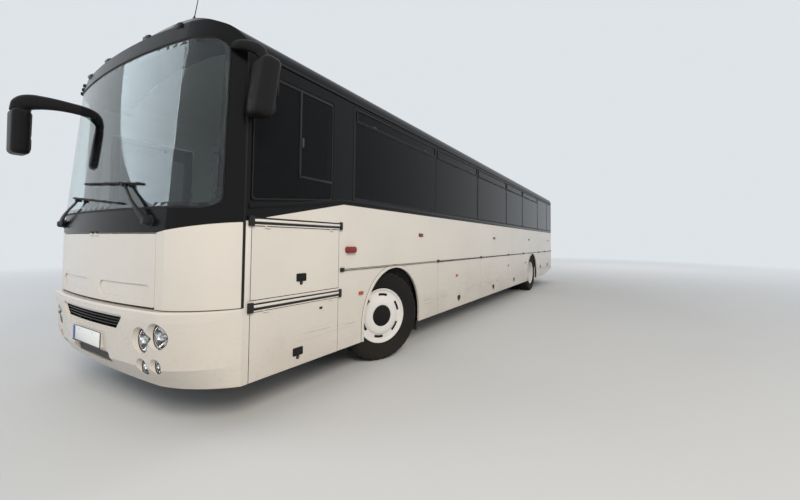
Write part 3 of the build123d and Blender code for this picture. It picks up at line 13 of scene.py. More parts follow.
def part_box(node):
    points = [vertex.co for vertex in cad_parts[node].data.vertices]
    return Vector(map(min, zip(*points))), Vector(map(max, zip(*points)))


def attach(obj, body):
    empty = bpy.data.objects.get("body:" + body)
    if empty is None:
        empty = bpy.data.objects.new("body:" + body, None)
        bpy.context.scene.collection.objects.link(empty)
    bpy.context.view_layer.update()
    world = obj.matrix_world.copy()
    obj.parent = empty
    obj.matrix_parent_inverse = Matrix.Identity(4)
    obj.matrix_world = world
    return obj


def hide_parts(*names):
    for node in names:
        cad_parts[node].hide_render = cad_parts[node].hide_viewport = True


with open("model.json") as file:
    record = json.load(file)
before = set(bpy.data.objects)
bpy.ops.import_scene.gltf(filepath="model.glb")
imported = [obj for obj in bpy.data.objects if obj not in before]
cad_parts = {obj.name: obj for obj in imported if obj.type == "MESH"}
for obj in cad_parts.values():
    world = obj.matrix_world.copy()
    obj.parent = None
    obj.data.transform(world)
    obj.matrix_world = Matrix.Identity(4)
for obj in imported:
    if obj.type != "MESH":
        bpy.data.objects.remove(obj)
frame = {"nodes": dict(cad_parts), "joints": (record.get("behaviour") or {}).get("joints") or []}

LOG = logging.getLogger("coach")

Colour = tuple[float, float, float]
Spot = tuple[float, float]
Place = tuple[float, float, float]
Point = Sequence[float]
Socket = bpy.types.NodeSocket
Skip = Optional[Callable[[int, int], bool]]

# Places that the looks share with the frame, in metres
SIDE_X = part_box("glass_left")[1].x
SEAM_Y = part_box("flap_driver_upper")[0].y - 0.063


def behind(distance: float) -> float:
    """Y of a place this far behind the front corner seam."""
    return SEAM_Y + distance


class Body(Enum):
    """Bodies that several kinds of piece ride on."""

    COACH = "coach"
    ENGINE_LID = "engine_lid"
    STEERING = "steering_wheel"


class Side(Enum):
    """The two sides of the coach, by the sign of X."""

    LEFT = 1
    RIGHT = -1

    @property
    def word(self) -> str:
        """Name of the side in piece names."""
        return self.name.lower()


# Shader trees
class Tree:
    """A shader tree or group that is being laid out."""

    def __init__(self, tree: bpy.types.NodeTree) -> None:
        """Args: tree: the tree that takes the nodes."""
        self.tree = tree

    def node(self, kind: str, **settings: object) -> bpy.types.Node:
        """A new node with its settings.

        Args:
            kind: the node's type.
            settings: its properties.

        Returns:
            The node.
        """
        made = self.tree.nodes.new(kind)
        for key, value in settings.items():
            setattr(made, key, value)
        return made

    def feed(self, socket: Socket, value: object) -> None:
        """Link a socket's source, or set its plain value.

        Args:
            socket: the input.
            value: source, plain value, or nothing to leave it.
        """
        if isinstance(value, Socket):
            self.tree.links.new(value, socket)
        elif value is not None:
            socket.default_value = value

    def math(self, operation: str, a: object, b: object = None, c: object = None, clamp: bool = False) -> Socket:
        """Result of one sum on up to three values.

        Args:
            operation: the node's operation.
            a: first value or source.
            b: second one.
            c: third one, or how near COMPARE's two have to be.
            clamp: whether the result is held to 0..1.

        Returns:
            The result.
        """
        made = self.node("ShaderNodeMath", operation=operation, use_clamp=clamp)
        for socket, value in zip(made.inputs, (a, b, c)):
            self.feed(socket, value)
        return made.outputs[0]

    def mix(self, share: object, a: object, b: object) -> Socket:
        """Colour between a and b.

        Args:
            share: 0 for a and 1 for b.
            a: first colour.
            b: second one.

        Returns:
            The colour.
        """
        made = self.node("ShaderNodeMix", data_type="RGBA")
        self.feed(made.inputs[0], share)
        self.feed(made.inputs[6], a)
        self.feed(made.inputs[7], b)
        return made.outputs[2]

    def span(self, value: object, low: float, high: float, start: float = 0.0, end: float = 1.0) -> Socket:
        """Value spread from low..high onto start..end, and held at its ends.

        Args:
            value: the source.
            low: value that gives start.
            high: value that gives end.
            start: first result.
            end: last result.

        Returns:
            The result.
        """
        made = self.node("ShaderNodeMapRange", clamp=True)
        for socket, number in zip(made.inputs, (value, low, high, start, end)):
            self.feed(socket, number)
        return made.outputs[0]

    def place(self, stretch: Point = (1, 1, 1)) -> Socket:
        """Position on the piece, which moves with it, scaled along each axis.

        Args:
            stretch: scale along X, Y and Z.

        Returns:
            The position.
        """
        where = self.node("ShaderNodeTexCoord").outputs["Object"]
        if tuple(stretch) == (1, 1, 1):
            return where
        made = self.node("ShaderNodeMapping")
        self.feed(made.inputs["Vector"], where)
        made.inputs["Scale"].default_value = stretch
        return made.outputs[0]

    def axes(self) -> tuple[Socket, ...]:
        """X, Y and Z of the position on the piece."""
        made = self.node("ShaderNodeSeparateXYZ")
        self.feed(made.inputs[0], self.place())
        return tuple(made.outputs)

    def noise(self, scale: object, detail: float = 4, stretch: Point = (1, 1, 1)) -> Socket:
        """Cloudy noise from 0 to 1.

        Args:
            scale: clouds to a metre.
            detail: finer layers.
            stretch: scale along X, Y and Z.

        Returns:
            The noise.
        """
        made = self.node("ShaderNodeTexNoise")
        self.feed(made.inputs["Vector"], self.place(stretch))
        self.feed(made.inputs["Scale"], scale)
        made.inputs["Detail"].default_value = detail
        return made.outputs["Fac"]

    def bump(self, height: object, distance: float, strength: float = 1.0) -> Socket:
        """Normal from a height, in metres.

        Args:
            height: the source.
            distance: depth that a height of 1 stands for.
            strength: share of it that shows.

        Returns:
            The normal.
        """
        made = self.node("ShaderNodeBump")
        made.inputs["Strength"].default_value = strength
        made.inputs["Distance"].default_value = distance
        self.feed(made.inputs["Height"], height)
        return made.outputs[0]


@dataclass(frozen=True)
class Effect:
    """A shading effect that several materials share, as one node group."""

    name: str
    inputs: tuple[tuple[str, str, object], ...]
    outputs: tuple[tuple[str, str], ...]
    lay: Callable[[Tree, dict], dict]

    def group(self) -> bpy.types.NodeTree:
        """The effect's node group, built the first time.

        Returns:
            The group.
        """
        found = bpy.data.node_groups.get(self.name)
        if found:
            return found
        made = bpy.data.node_groups.new(self.name, "ShaderNodeTree")
        for name, kind, value in self.inputs:
            made.interface.new_socket(name=name, in_out="INPUT", socket_type=kind).default_value = value
        for name, kind in self.outputs:
            made.interface.new_socket(name=name, in_out="OUTPUT", socket_type=kind)
        tree = Tree(made)
        source = tree.node("NodeGroupInput")
        target = tree.node("NodeGroupOutput")
        results = self.lay(tree, {name: source.outputs[name] for name, _, _ in self.inputs})
        for name, _ in self.outputs:
            tree.feed(target.inputs[name], results[name])
        return made

    def use(self, tree: Tree, **values: object) -> dict[str, Socket]:
        """Place the effect in a material.

        Args:
            tree: the material's tree.
            values: values or sources of the inputs, by name.

        Returns:
            The effect's outputs by name.
        """
        made = tree.node("ShaderNodeGroup", node_tree=self.group())
        for name, value in values.items():
            tree.feed(made.inputs[name], value)
        return {name: made.outputs[name] for name, _ in self.outputs}


def lay_road_film(tree: Tree, inputs: dict) -> dict:
    """Road film: strongest low down, in soft clouds and fine spots.

    Args:
        tree: the group's tree.
        inputs: its inputs by name.

    Returns:
        The outputs by name.
    """
    _, _, z = tree.axes()
    height = tree.math("DIVIDE", z, inputs["Reach"])
    low = tree.math("SUBTRACT", 1.0, height, clamp=True)
    low = tree.math("POWER", low, 1.6)
    clouds = tree.span(tree.noise(1.7, 6, (1, 0.6, 1.4)), 0.32, 0.72)
    spots = tree.span(tree.noise(38.0, 3), 0.56, 0.74)
    soft = tree.math("MULTIPLY", low, tree.math("ADD", clouds, 0.25))
    mask = tree.math("ADD", soft, tree.math("MULTIPLY", tree.math("MULTIPLY", spots, low), 0.5))
    mask = tree.math("MULTIPLY", mask, inputs["Amount"], clamp=True)
    return {"Colour": tree.mix(mask, inputs["Clean"], inputs["Film"]), "Mask": mask}


def lay_scuffs(tree: Tree, inputs: dict) -> dict:
    """Long level scratches in a band at one height, in patches.

    Args:
        tree: the group's tree.
        inputs: its inputs by name.

    Returns:
        The outputs by name.
    """
    _, _, z = tree.axes()
    off = tree.math("ABSOLUTE", tree.math("SUBTRACT", z, inputs["Height"]))
    band = tree.math("SUBTRACT", 1.0, tree.math("DIVIDE", off, inputs["Spread"]), clamp=True)
    lines = tree.span(tree.noise(9.0, 5, (1, 0.35, 34)), 0.56, 0.66)
    patches = tree.span(tree.noise(2.1, 2, (1, 1, 0.4)), 0.44, 0.62)
    mask = tree.math("MULTIPLY", tree.math("MULTIPLY", lines, band), patches)
    return {"Mask": tree.math("MULTIPLY", mask, inputs["Amount"], clamp=True)}


def lay_grain(tree: Tree, inputs: dict) -> dict:
    """Fine moulded or sprayed grain.

    Args:
        tree: the group's tree.
        inputs: its inputs by name.

    Returns:
        The outputs by name.
    """
    fine = tree.noise(inputs["Scale"], 3)
    return {"Height": fine, "Value": tree.span(fine, 0.3, 0.7)}


def lay_weave(tree: Tree, inputs: dict) -> dict:
    """Woven threads crossing at right angles.

    Args:
        tree: the group's tree.
        inputs: its inputs by name.

    Returns:
        The outputs by name.
    """
    x, y, z = tree.axes()
    across = tree.math("MULTIPLY", tree.math("ADD", x, tree.math("MULTIPLY", y, 0.31)), inputs["Scale"])
    along = tree.math("MULTIPLY", tree.math("ADD", y, z), inputs["Scale"])
    warp = tree.math("SINE", across)
    weft = tree.math("SINE", along)
    height = tree.math("MULTIPLY_ADD", tree.math("MULTIPLY", warp, weft), 0.5, 0.5)
    return {"Height": height, "Mask": tree.math("GREATER_THAN", warp, weft)}


def lay_belt(tree: Tree, inputs: dict) -> dict:
    """Border between the pale and the black paint: 1 above it.

    Args:
        tree: the group's tree.
        inputs: its inputs by name.

    Returns:
        The outputs by name.
    """
    x, y, z = tree.axes()
    back = tree.math("SUBTRACT", y, SEAM_Y)
    rise = tree.math("ADD", tree.math("MULTIPLY", back, inputs["Slope"]), inputs["Start"])
    side = tree.math("GREATER_THAN", z, tree.math("MINIMUM", rise, inputs["Level"]))
    out = tree.math("SUBTRACT", tree.math("ABSOLUTE", x), inputs["Corner"], clamp=True)
    corner = tree.math("ADD", tree.math("MULTIPLY", out, 0.20), inputs["Front"])
    front = tree.math("GREATER_THAN", z, corner)
    return {"Side": side, "Front": front}


VALUE = "NodeSocketFloat"
TINT = "NodeSocketColor"
ROAD_FILM = Effect(
    "road_film",
    (
        ("Clean", TINT, (1, 1, 1, 1)), ("Film", TINT, (0.2, 0.16, 0.12, 1)), ("Reach", VALUE, 1.2),
        ("Amount", VALUE, 0.5),
    ),
    (("Colour", TINT), ("Mask", VALUE)),
    lay_road_film,
)
SCUFFS = Effect(
    "scuffs",
    (("Height", VALUE, 0.54), ("Spread", VALUE, 0.1), ("Amount", VALUE, 0.6)),
    (("Mask", VALUE),),
    lay_scuffs,
)
GRAIN = Effect("grain", (("Scale", VALUE, 400.0),), (("Height", VALUE), ("Value", VALUE)), lay_grain)
WEAVE = Effect("weave", (("Scale", VALUE, 2600.0),), (("Height", VALUE), ("Mask", VALUE)), lay_weave)
BELT = Effect(
    "belt_line",
    (
        ("Start", VALUE, 1.478), ("Slope", VALUE, 0.200), ("Level", VALUE, 1.690),
        ("Corner", VALUE, 0.855), ("Front", VALUE, 1.386),
    ),
    (("Side", VALUE), ("Front", VALUE)),
    lay_belt,
)


def tint(colour: Colour) -> tuple[float, float, float, float]:
    """Colour with its fourth value."""
    return (*colour, 1.0)


# Finishes
@dataclass(frozen=True)
class Finish:
    """A surface finish. Its material is made the first time that it is asked for."""

    name: str
    colour: Colour
    roughness: float = 0.5
    metallic: float = 0.0
    coat: float = 0.0
    gloss: float = 0.5

    def material(self) -> bpy.types.Material:
        """The finish as a material.

        Returns:
            The material.
        """
        found = bpy.data.materials.get(self.name)
        if found:
            return found
        made = bpy.data.materials.new(self.name)
        made.use_nodes = True
        shader = made.node_tree.nodes["Principled BSDF"]
        for socket, value in (
            ("Base Color", tint(self.colour)), ("Roughness", self.roughness), ("Metallic", self.metallic),
            ("Coat Weight", self.coat), ("Coat Roughness", 0.06), ("Specular IOR Level", self.gloss),
        ):
            shader.inputs[socket].default_value = value
        self.dress(Tree(made.node_tree), shader)
        return made

    def dress(self, tree: Tree, shader: bpy.types.Node) -> None:
        """Add the finish's own nodes.

        Args:
            tree: the material's tree.
            shader: its main shader.
        """
        grain = GRAIN.use(tree, Scale=260.0)
        tree.feed(shader.inputs["Normal"], tree.bump(grain["Height"], 0.0004))
        tree.feed(
            shader.inputs["Roughness"],
            tree.span(grain["Value"], 0, 1, self.roughness * 0.88, min(1, self.roughness * 1.14)),
        )


class Zone(Enum):
    """Which border a body paint follows."""

    PLAIN = "plain"
    SIDE = "side"
    FRONT = "front"
    ROOF = "roof"
    BUMPER = "bumper"
    FLAP = "flap"


@dataclass(frozen=True)
class BodyPaint(Finish):
    """Gloss body paint, pale below its border and black above, dirty low down; on sides and flaps, faces set
    back from the skin get painted shade.
    """

    zone: Zone = Zone.PLAIN
    dark: Colour = (0.006, 0.006, 0.0065)
    lining: Colour = (0.34, 0.33, 0.32)
    film: Colour = (0.30, 0.24, 0.17)
    scuffed: bool = False
    roof_border: float = 2.93
    intake: Place = (0.700, 0.443, 0.943)
    intake_band: Spot = (0.7435, 0.044)
    # Depth behind the outer skin past which side and flap faces get painted shade
    edge: float = 0.0035

    def dress(self, tree: Tree, shader: bpy.types.Node) -> None:
        """Border, road film, scuffs, painted shade on set-back faces, and the ripple of sprayed panels.

        Args:
            tree: the material's tree.
            shader: its main shader.
        """
        x, y, z = tree.axes()
        faded = tree.span(tree.noise(0.9, 3), 0.35, 0.7)
        pale = tree.mix(faded, tint(self.colour), tint(tuple(c * 0.93 for c in self.colour)))
        above: object = None
        if self.zone is Zone.SIDE:
            above = BELT.use(tree)["Side"]
        elif self.zone is Zone.FRONT:
            above = BELT.use(tree)["Front"]
        elif self.zone is Zone.ROOF:
            above = tree.math("LESS_THAN", z, self.roof_border)
        elif self.zone is Zone.BUMPER:
            low, half, widening = self.intake
            slope = tree.math("MULTIPLY_ADD", tree.math("SUBTRACT", z, low), widening, half)
            within = tree.math("LESS_THAN", tree.math("ABSOLUTE", x), slope)
            level = tree.math("COMPARE", z, *self.intake_band)
            above = tree.math("MULTIPLY", within, level)
        film = ROAD_FILM.use(tree, Clean=pale, Film=tint(self.film), Reach=1.25, Amount=0.45)
        colour = film["Colour"]
        if self.scuffed:
            scuffs = SCUFFS.use(tree, Height=0.55, Spread=0.08, Amount=1.2)
            colour = tree.mix(scuffs["Mask"], colour, tint((0.15, 0.12, 0.10)))
        if above is not None:
            colour = tree.mix(above, colour, tint(self.dark))
            pale_share = tree.math("SUBTRACT", 1.0, above, clamp=True)
            tree.feed(shader.inputs["Coat Weight"], tree.math("MULTIPLY", pale_share, self.coat))
        across = tree.math("ABSOLUTE", x)
        # Painted shade: panel edges, gap sides and arch returns set back from the skin are darkened so the gaps
        # read as shadow
        if self.zone in (Zone.SIDE, Zone.FLAP):
            edge = tree.math("LESS_THAN", across, SIDE_X - self.edge)
            colour = tree.mix(edge, colour, tint(self.dark))
        # Inner side faces above the floor line take the lining colour; lower ones keep the painted shade
        if self.zone is Zone.SIDE:
            inside = tree.math("LESS_THAN", across, SIDE_X - 0.008)
            inside = tree.math("MULTIPLY", inside, tree.math("GREATER_THAN", z, 1.05))
            colour = tree.mix(inside, colour, tint(self.lining))
        # Flap faces deeper than its edges take the lining colour; only the edges keep the painted shade
        if self.zone is Zone.FLAP:
            inside = tree.math("LESS_THAN", across, SIDE_X - 0.017)
            colour = tree.mix(inside, colour, tint(self.lining))
        if self.zone is Zone.ROOF:
            facing = tree.node("ShaderNodeSeparateXYZ")
            tree.feed(facing.inputs[0], tree.node("ShaderNodeNewGeometry").outputs["True Normal"])
            inside = tree.math("LESS_THAN", facing.outputs[2], -0.02)
            colour = tree.mix(inside, colour, tint(self.lining))
        tree.feed(shader.inputs["Base Color"], colour)
        grain = GRAIN.use(tree, Scale=14.0)
        tree.feed(
            shader.inputs["Roughness"],
            tree.math("ADD", tree.math("MULTIPLY", film["Mask"], 0.45), self.roughness, clamp=True),
        )
        tree.feed(shader.inputs["Normal"], tree.bump(grain["Height"], 0.0012))


@dataclass(frozen=True)
class Weathered(Finish):
    """Paint, casting, rubber or plastic with road film and a grain."""

    film: Colour = (0.26, 0.21, 0.15)
    reach: float = 1.2
    amount: float = 0.5
    grain: float = 300.0
    relief: float = 0.0005

    def dress(self, tree: Tree, shader: bpy.types.Node) -> None:
        """Road film over a grain.

        Args:
            tree: the material's tree.
            shader: its main shader.
        """
        film = ROAD_FILM.use(
            tree, Clean=tint(self.colour), Film=tint(self.film), Reach=self.reach, Amount=self.amount
        )
        tree.feed(shader.inputs["Base Color"], film["Colour"])
        grain = GRAIN.use(tree, Scale=self.grain)
        tree.feed(
            shader.inputs["Roughness"],
            tree.math("ADD", tree.math("MULTIPLY", film["Mask"], 0.35), self.roughness, clamp=True),
        )
        tree.feed(shader.inputs["Normal"], tree.bump(grain["Height"], self.relief))


@dataclass(frozen=True)
class Glass(Finish):
    """Glass, clear or tinted through."""

    clear: float = 1.0
    index: float = 1.5

    def dress(self, tree: Tree, shader: bpy.types.Node) -> None:
        """Transmission with a faint dust that dulls the gloss.

        Args:
            tree: the material's tree.
            shader: its main shader.
        """
        shader.inputs["Transmission Weight"].default_value = self.clear
        shader.inputs["IOR"].default_value = self.index
        dust = tree.span(tree.noise(2.2, 6), 0.45, 0.8, self.roughness, self.roughness + 0.05)
        tree.feed(shader.inputs["Roughness"], dust)


@dataclass(frozen=True)
class Cloth(Finish):
    """Woven cloth in two thread colours."""

    thread: Colour = (0.2, 0.25, 0.3)
    scale: float = 1500.0

    def dress(self, tree: Tree, shader: bpy.types.Node) -> None:
        """Threads, faded patches and a soft sheen.

        Args:
            tree: the material's tree.
            shader: its main shader.
        """
        weave = WEAVE.use(tree, Scale=self.scale)
        worn = tree.span(tree.noise(5.0, 4), 0.35, 0.75, 0.0, 0.35)
        colour = tree.mix(weave["Mask"], tint(self.colour), tint(self.thread))
        colour = tree.mix(worn, colour, tint(tuple(min(1, c * 1.5 + 0.02) for c in self.colour)))
        tree.feed(shader.inputs["Base Color"], colour)
        shader.inputs["Sheen Weight"].default_value = 0.35
        shader.inputs["Sheen Roughness"].default_value = 0.5
        tree.feed(shader.inputs["Normal"], tree.bump(weave["Height"], 0.0006))


PALE = (0.66, 0.615, 0.555)
BLACK = (0.006, 0.0058, 0.006)
PAINT_SIDE = BodyPaint("paint_side", PALE, 0.24, coat=0.15, gloss=0.14, zone=Zone.SIDE, scuffed=True)
PAINT_FLAP = BodyPaint("paint_flap", PALE, 0.24, coat=0.15, gloss=0.14, zone=Zone.FLAP, scuffed=True)
PAINT_FRONT = BodyPaint("paint_front", PALE, 0.22, coat=0.15, gloss=0.14, zone=Zone.FRONT)
PAINT_PANEL = BodyPaint("paint_panel", PALE, 0.22, coat=0.2, gloss=0.2)
PAINT_BUMPER = BodyPaint("paint_bumper", PALE, 0.24, coat=0.2, gloss=0.2, zone=Zone.BUMPER)
PAINT_ROOF = BodyPaint("paint_roof", PALE, 0.3, coat=0.2, gloss=0.14, zone=Zone.ROOF)
GLOSS_BLACK = Weathered("gloss_black", BLACK, 0.2, gloss=0.16, amount=0.05, grain=18.0)
TRIM_BLACK = Weathered("trim_black", (0.011, 0.0105, 0.011), 0.42, gloss=0.3, amount=0.12)
LATCH_BLACK = Weathered("latch_black", (0.007, 0.0065, 0.0065), 0.45, gloss=0.25, amount=0.04)
SEAL = Weathered("rubber_seal", (0.010, 0.0097, 0.0097), 0.62, gloss=0.3, amount=0.15)
TYRE_RUBBER = Weathered(
    "tyre_rubber", (0.010, 0.0092, 0.0088), 0.8, gloss=0.25,
    film=(0.055, 0.046, 0.038), reach=1.6, amount=0.35, grain=90.0, relief=0.001,
)
COVER_PAINT = Weathered(
    "wheel_cover_paint", (0.72, 0.70, 0.68), 0.34, coat=0.2, gloss=0.3, amount=0.22, reach=1.5
)
FRAME_PAINT = Weathered(
    "frame_paint", (0.012, 0.0115, 0.011), 0.6, gloss=0.3, film=(0.09, 0.075, 0.06), amount=0.6, reach=1.6
)
CASTING = Weathered("casting", (0.05, 0.045, 0.04), 0.68, amount=0.9, reach=1.6, grain=120.0, relief=0.002)
DARK_PLASTIC = Weathered("dark_plastic", (0.035, 0.035, 0.038), 0.5, amount=0.1)
RACK_PLASTIC = Finish("rack_plastic", (0.36, 0.36, 0.37), 0.55)
DASH_PLASTIC = Finish("dash_plastic", (0.045, 0.047, 0.052), 0.6)
FLOOR_COVER = Finish("floor_covering", (0.10, 0.105, 0.115), 0.7)
STAIR_COVER = Finish("stair_covering", (0.13, 0.13, 0.135), 0.6)
BAY_LINING = Weathered("bay_lining", (0.30, 0.295, 0.285), 0.55, amount=0.5)
ROOF_PLASTIC = Weathered("roof_plastic", (0.42, 0.42, 0.41), 0.5, amount=0.2)
WHITE_TRIM = Weathered("white_trim", (0.67, 0.63, 0.575), 0.3, amount=0.25)
BARE_METAL = Finish("bare_metal", (0.62, 0.61, 0.59), 0.28, metallic=1.0)
MIRROR_FACE = Finish("mirror_face", (0.82, 0.84, 0.86), 0.03, metallic=1.0)
GLASS_SCREEN = Glass("screen_glass", (0.80, 0.90, 0.90), 0.01, clear=1.0, index=1.45)
GLASS_SIDE = Glass("side_glass", (0.030, 0.032, 0.035), 0.012, gloss=0.16, clear=0.9, index=1.2)
GLASS_LAMP = Glass("lamp_glass", (0.95, 0.96, 0.97), 0.01)
LENS_RED = Glass("red_lens", (0.27, 0.012, 0.008), 0.12, clear=0.3)
LENS_AMBER = Glass("amber_lens", (0.56, 0.085, 0.015), 0.12, clear=0.3)
PLATE_FACE = Finish("plate_face", (0.80, 0.80, 0.78), 0.3)
PLATE_BAND = Finish("plate_band", (0.012, 0.05, 0.30), 0.35)
SEAT_CLOTH = Cloth("seat_cloth", (0.030, 0.045, 0.095), 0.9, thread=(0.055, 0.085, 0.16))
SEAT_BACKING = Finish("seat_backing", (0.06, 0.062, 0.07), 0.6)
PIPING = Finish("seat_piping", (0.10, 0.11, 0.13), 0.6)
MIRROR_CASE = Weathered("mirror_case", (0.011, 0.0098, 0.0102), 0.36, gloss=0.14, amount=0.05, grain=240.0)
REFLECTOR = Finish("lamp_reflector", (0.80, 0.81, 0.82), 0.10, metallic=1.0)


# Meshes
def smooth_step(value: float) -> float:
    """Smooth rise from 0 to 1."""
    held = min(1.0, max(0.0, value))
    return held * held * (3 - 2 * held)


def ellipse(half_wide: float, half_high: float, count: int = 20) -> list[Spot]:
    """Points of an ellipse, as a sweep's section."""
    turns = (2 * math.pi * step / count for step in range(count))
    return [(half_wide * math.cos(turn), half_high * math.sin(turn)) for turn in turns]


def circle(radius: float, count: int) -> list[Spot]:
    """Points of a circle, as a sweep's section."""
    return ellipse(radius, radius, count)


def filled(outline: Sequence[Spot], gap: float) -> list[Spot]:
    """Closed outline with points put in between.

    Args:
        outline: its points.
        gap: distance that two points keep at most, or about twice that.

    Returns:
        The points of the denser outline.
    """
    path = []
    for (ax, ay), (bx, by) in zip(outline, outline[1:] + outline[:1]):
        count = max(1, int(math.hypot(bx - ax, by - ay) / gap))
        path += [(ax + (bx - ax) * step / count, ay + (by - ay) * step / count) for step in range(count)]
    return path


def rounded(width: float, height: float, radius: float, count: int = 5) -> list[Spot]:
    """Points of a rounded rectangle about its middle.

    Args:
        width: whole width.
        height: whole height.
        radius: radius of the corners.
        count: points of each corner.

    Returns:
        The points in order.
    """
    points = []
    for index, (sx, sy) in enumerate(((1, 1), (-1, 1), (-1, -1), (1, -1))):
        for step in range(count):
            turn = math.pi / 2 * (index + step / (count - 1))
            points.append(
                (
                    sx * (width / 2 - radius) + radius * math.cos(turn),
                    sy * (height / 2 - radius) + radius * math.sin(turn),
                )
            )
    return points


def placed(name: str, data: bpy.types.ID) -> bpy.types.Object:
    """A new object of the scene, with its data."""
    made = bpy.data.objects.new(name, data)
    bpy.context.scene.collection.objects.link(made)
    return made


class Sheet:
    """A mesh that is being built in the coach's frame."""

    def __init__(self) -> None:
        """Start with an empty mesh."""
        self.bm = bmesh.new()

    def loft(
        self,
        rings: Sequence[Sequence[Point]],
        closed: bool = True,
        capped: bool = True,
        loop: bool = False,
        skip: Skip = None,
    ) -> "Sheet":
        """Join rings of points with faces.

        Args:
            rings: rows of as many points each.
            closed: whether each ring closes on itself.
            capped: whether the first and last rings are filled.
            loop: whether the last ring joins the first.
            skip: says by row and place which faces are left out.

        Returns:
            The mesh itself.
        """
        rows = [[self.bm.verts.new(point) for point in ring] for ring in rings]
        count = len(rows[0])
        pairs = list(zip(rows, rows[1:])) + ([(rows[-1], rows[0])] if loop else [])
        for row, (low, high) in enumerate(pairs):
            for here in range(count if closed else count - 1):
                there = (here + 1) % count
                if not skip or not skip(row, here):
                    self.bm.faces.new((low[here], low[there], high[there], high[here]))
        if capped and closed and not loop:
            self.bm.faces.new(rows[0][::-1])
            self.bm.faces.new(rows[-1])
        return self

    def prism(self, outline: Sequence[Point], along: Point) -> "Sheet":
        """Solid of an outline pushed along a vector."""
        return self.loft([outline, [Vector(point) + Vector(along) for point in outline]])

    def sweep(
        self,
        path: Sequence[Point],
        section: Sequence[Spot],
        up: Point = (0, 0, 1),
        capped: bool = True,
    ) -> "Sheet":
        """Section carried along a path; its second coordinate stays near the up vector.

        Args:
            path: points of the path.
            section: points across it.
            up: the up vector.
            capped: whether the ends are filled.

        Returns:
            The mesh itself.
        """
        points = [Vector(point) for point in path]
        rings = []
        for index, point in enumerate(points):
            ahead = points[min(index + 1, len(points) - 1)] - points[max(index - 1, 0)]
            ahead.normalize()
            side = ahead.cross(Vector(up)).normalized()
            top = side.cross(ahead)
            rings.append([point + side * a + top * b for a, b in section])
        return self.loft(rings, capped=capped)

    def lathe(
        self,
        profile: Sequence[Spot],
        origin: Point,
        axis: Point,
        segments: int = 48,
        closed: bool = False,
        skip: Skip = None,
    ) -> "Sheet":
        """Profile of (along, radius) turned about an axis.

        Args:
            profile: points of the profile.
            origin: point on the axis.
            axis: its direction.
            segments: faces round it.
            closed: whether the profile closes on itself.
            skip: says by step and place which faces are left out.

        Returns:
            The mesh itself.
        """
        out = Vector(axis).normalized()
        start = (out.orthogonal() if abs(out.z) > 0.9 else out.cross(Vector((0, 0, 1)))).normalized()
        rings = []
        for step in range(segments):
            arm = Quaternion(out, 2 * math.pi * step / segments) @ start
            rings.append([Vector(origin) + out * along + arm * radius for along, radius in profile])
        return self.loft(rings, closed=closed, capped=False, loop=True, skip=skip)

    def slab(self, low: Point, high: Point, bevel: float = 0.0, segments: int = 3) -> "Sheet":
        """Block between two corners, with rounded edges.

        Args:
            low: its lowest corner.
            high: its highest one.
            bevel: radius of the edges.
            segments: faces across an edge.

        Returns:
            The mesh itself.
        """
        corner, size = Vector(low), Vector(high) - Vector(low)
        made = bmesh.ops.create_cube(self.bm, size=1.0)["verts"]
        for vert in made:
            vert.co = corner + Vector((vert.co + Vector((0.5, 0.5, 0.5)))[i] * size[i] for i in range(3))
        if bevel:
            edges = list({edge for vert in made for edge in vert.link_edges})
            bmesh.ops.bevel(self.bm, geom=edges, offset=bevel, segments=segments, affect="EDGES", profile=0.5)
        return self

    def piece(
        self,
        name: str,
        finish: Finish,
        body: str = Body.COACH.value,
        sharp: float = 34.0,
        thickness: float = 0.0,
    ) -> bpy.types.Object:
        """Make the piece and let it ride on its body.

        Args:
            name: the piece's name.
            finish: its finish.
            body: the body that carries it.
            sharp: angle in degrees above which an edge stays sharp.
            thickness: wall that an open surface gets.

        Returns:
            The piece's object.
        """
        bmesh.ops.remove_doubles(self.bm, verts=self.bm.verts, dist=1e-5)
        bmesh.ops.recalc_face_normals(self.bm, faces=self.bm.faces)
        for face in self.bm.faces:
            face.smooth = True
        for edge in self.bm.edges:
            edge.smooth = len(edge.link_faces) != 2 or edge.calc_face_angle(0) < math.radians(sharp)
        mesh = bpy.data.meshes.new(name)
        self.bm.to_mesh(mesh)
        self.bm.free()
        mesh.materials.append(finish.material())
        made = placed(name, mesh)
        if thickness:
            wall = made.modifiers.new("wall", "SOLIDIFY")
            wall.thickness = thickness
            wall.offset = -1
        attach(made, body)
        LOG.info("%s on %s, %d faces, %s", name, body, len(mesh.polygons), finish.name)
        return made


def coat_node(node: str, finish: Finish) -> None:
    """Give a frame node its finish.

    Args:
        node: the node.
        finish: its finish.
    """
    target = frame["nodes"][node]
    target.data.materials.clear()
    target.data.materials.append(finish.material())
    LOG.info("%s dressed with %s", node, finish.name)


FRONT_NODES = ("bumper_front", "front_lid", "front_mask", "windscreen")


def on_front(x: float, z: float, out: float = 0.0) -> Vector:
    """Point on the front's outer surface, seen from the front.

    Args:
        x: place across.
        z: height.
        out: distance ahead of the surface.

    Returns:
        The point in the coach's frame.
    """
    nearest = None
    for name in FRONT_NODES:
        hit, point, _, _ = frame["nodes"][name].ray_cast(Vector((x, -12, z)), Vector((0, 1, 0)))
        if hit and (nearest is None or point.y < nearest.y):
            nearest = point
    if nearest is None:
        nearest = Vector((x, SEAM_Y - 0.3, z))
    return nearest - Vector((0, out, 0))


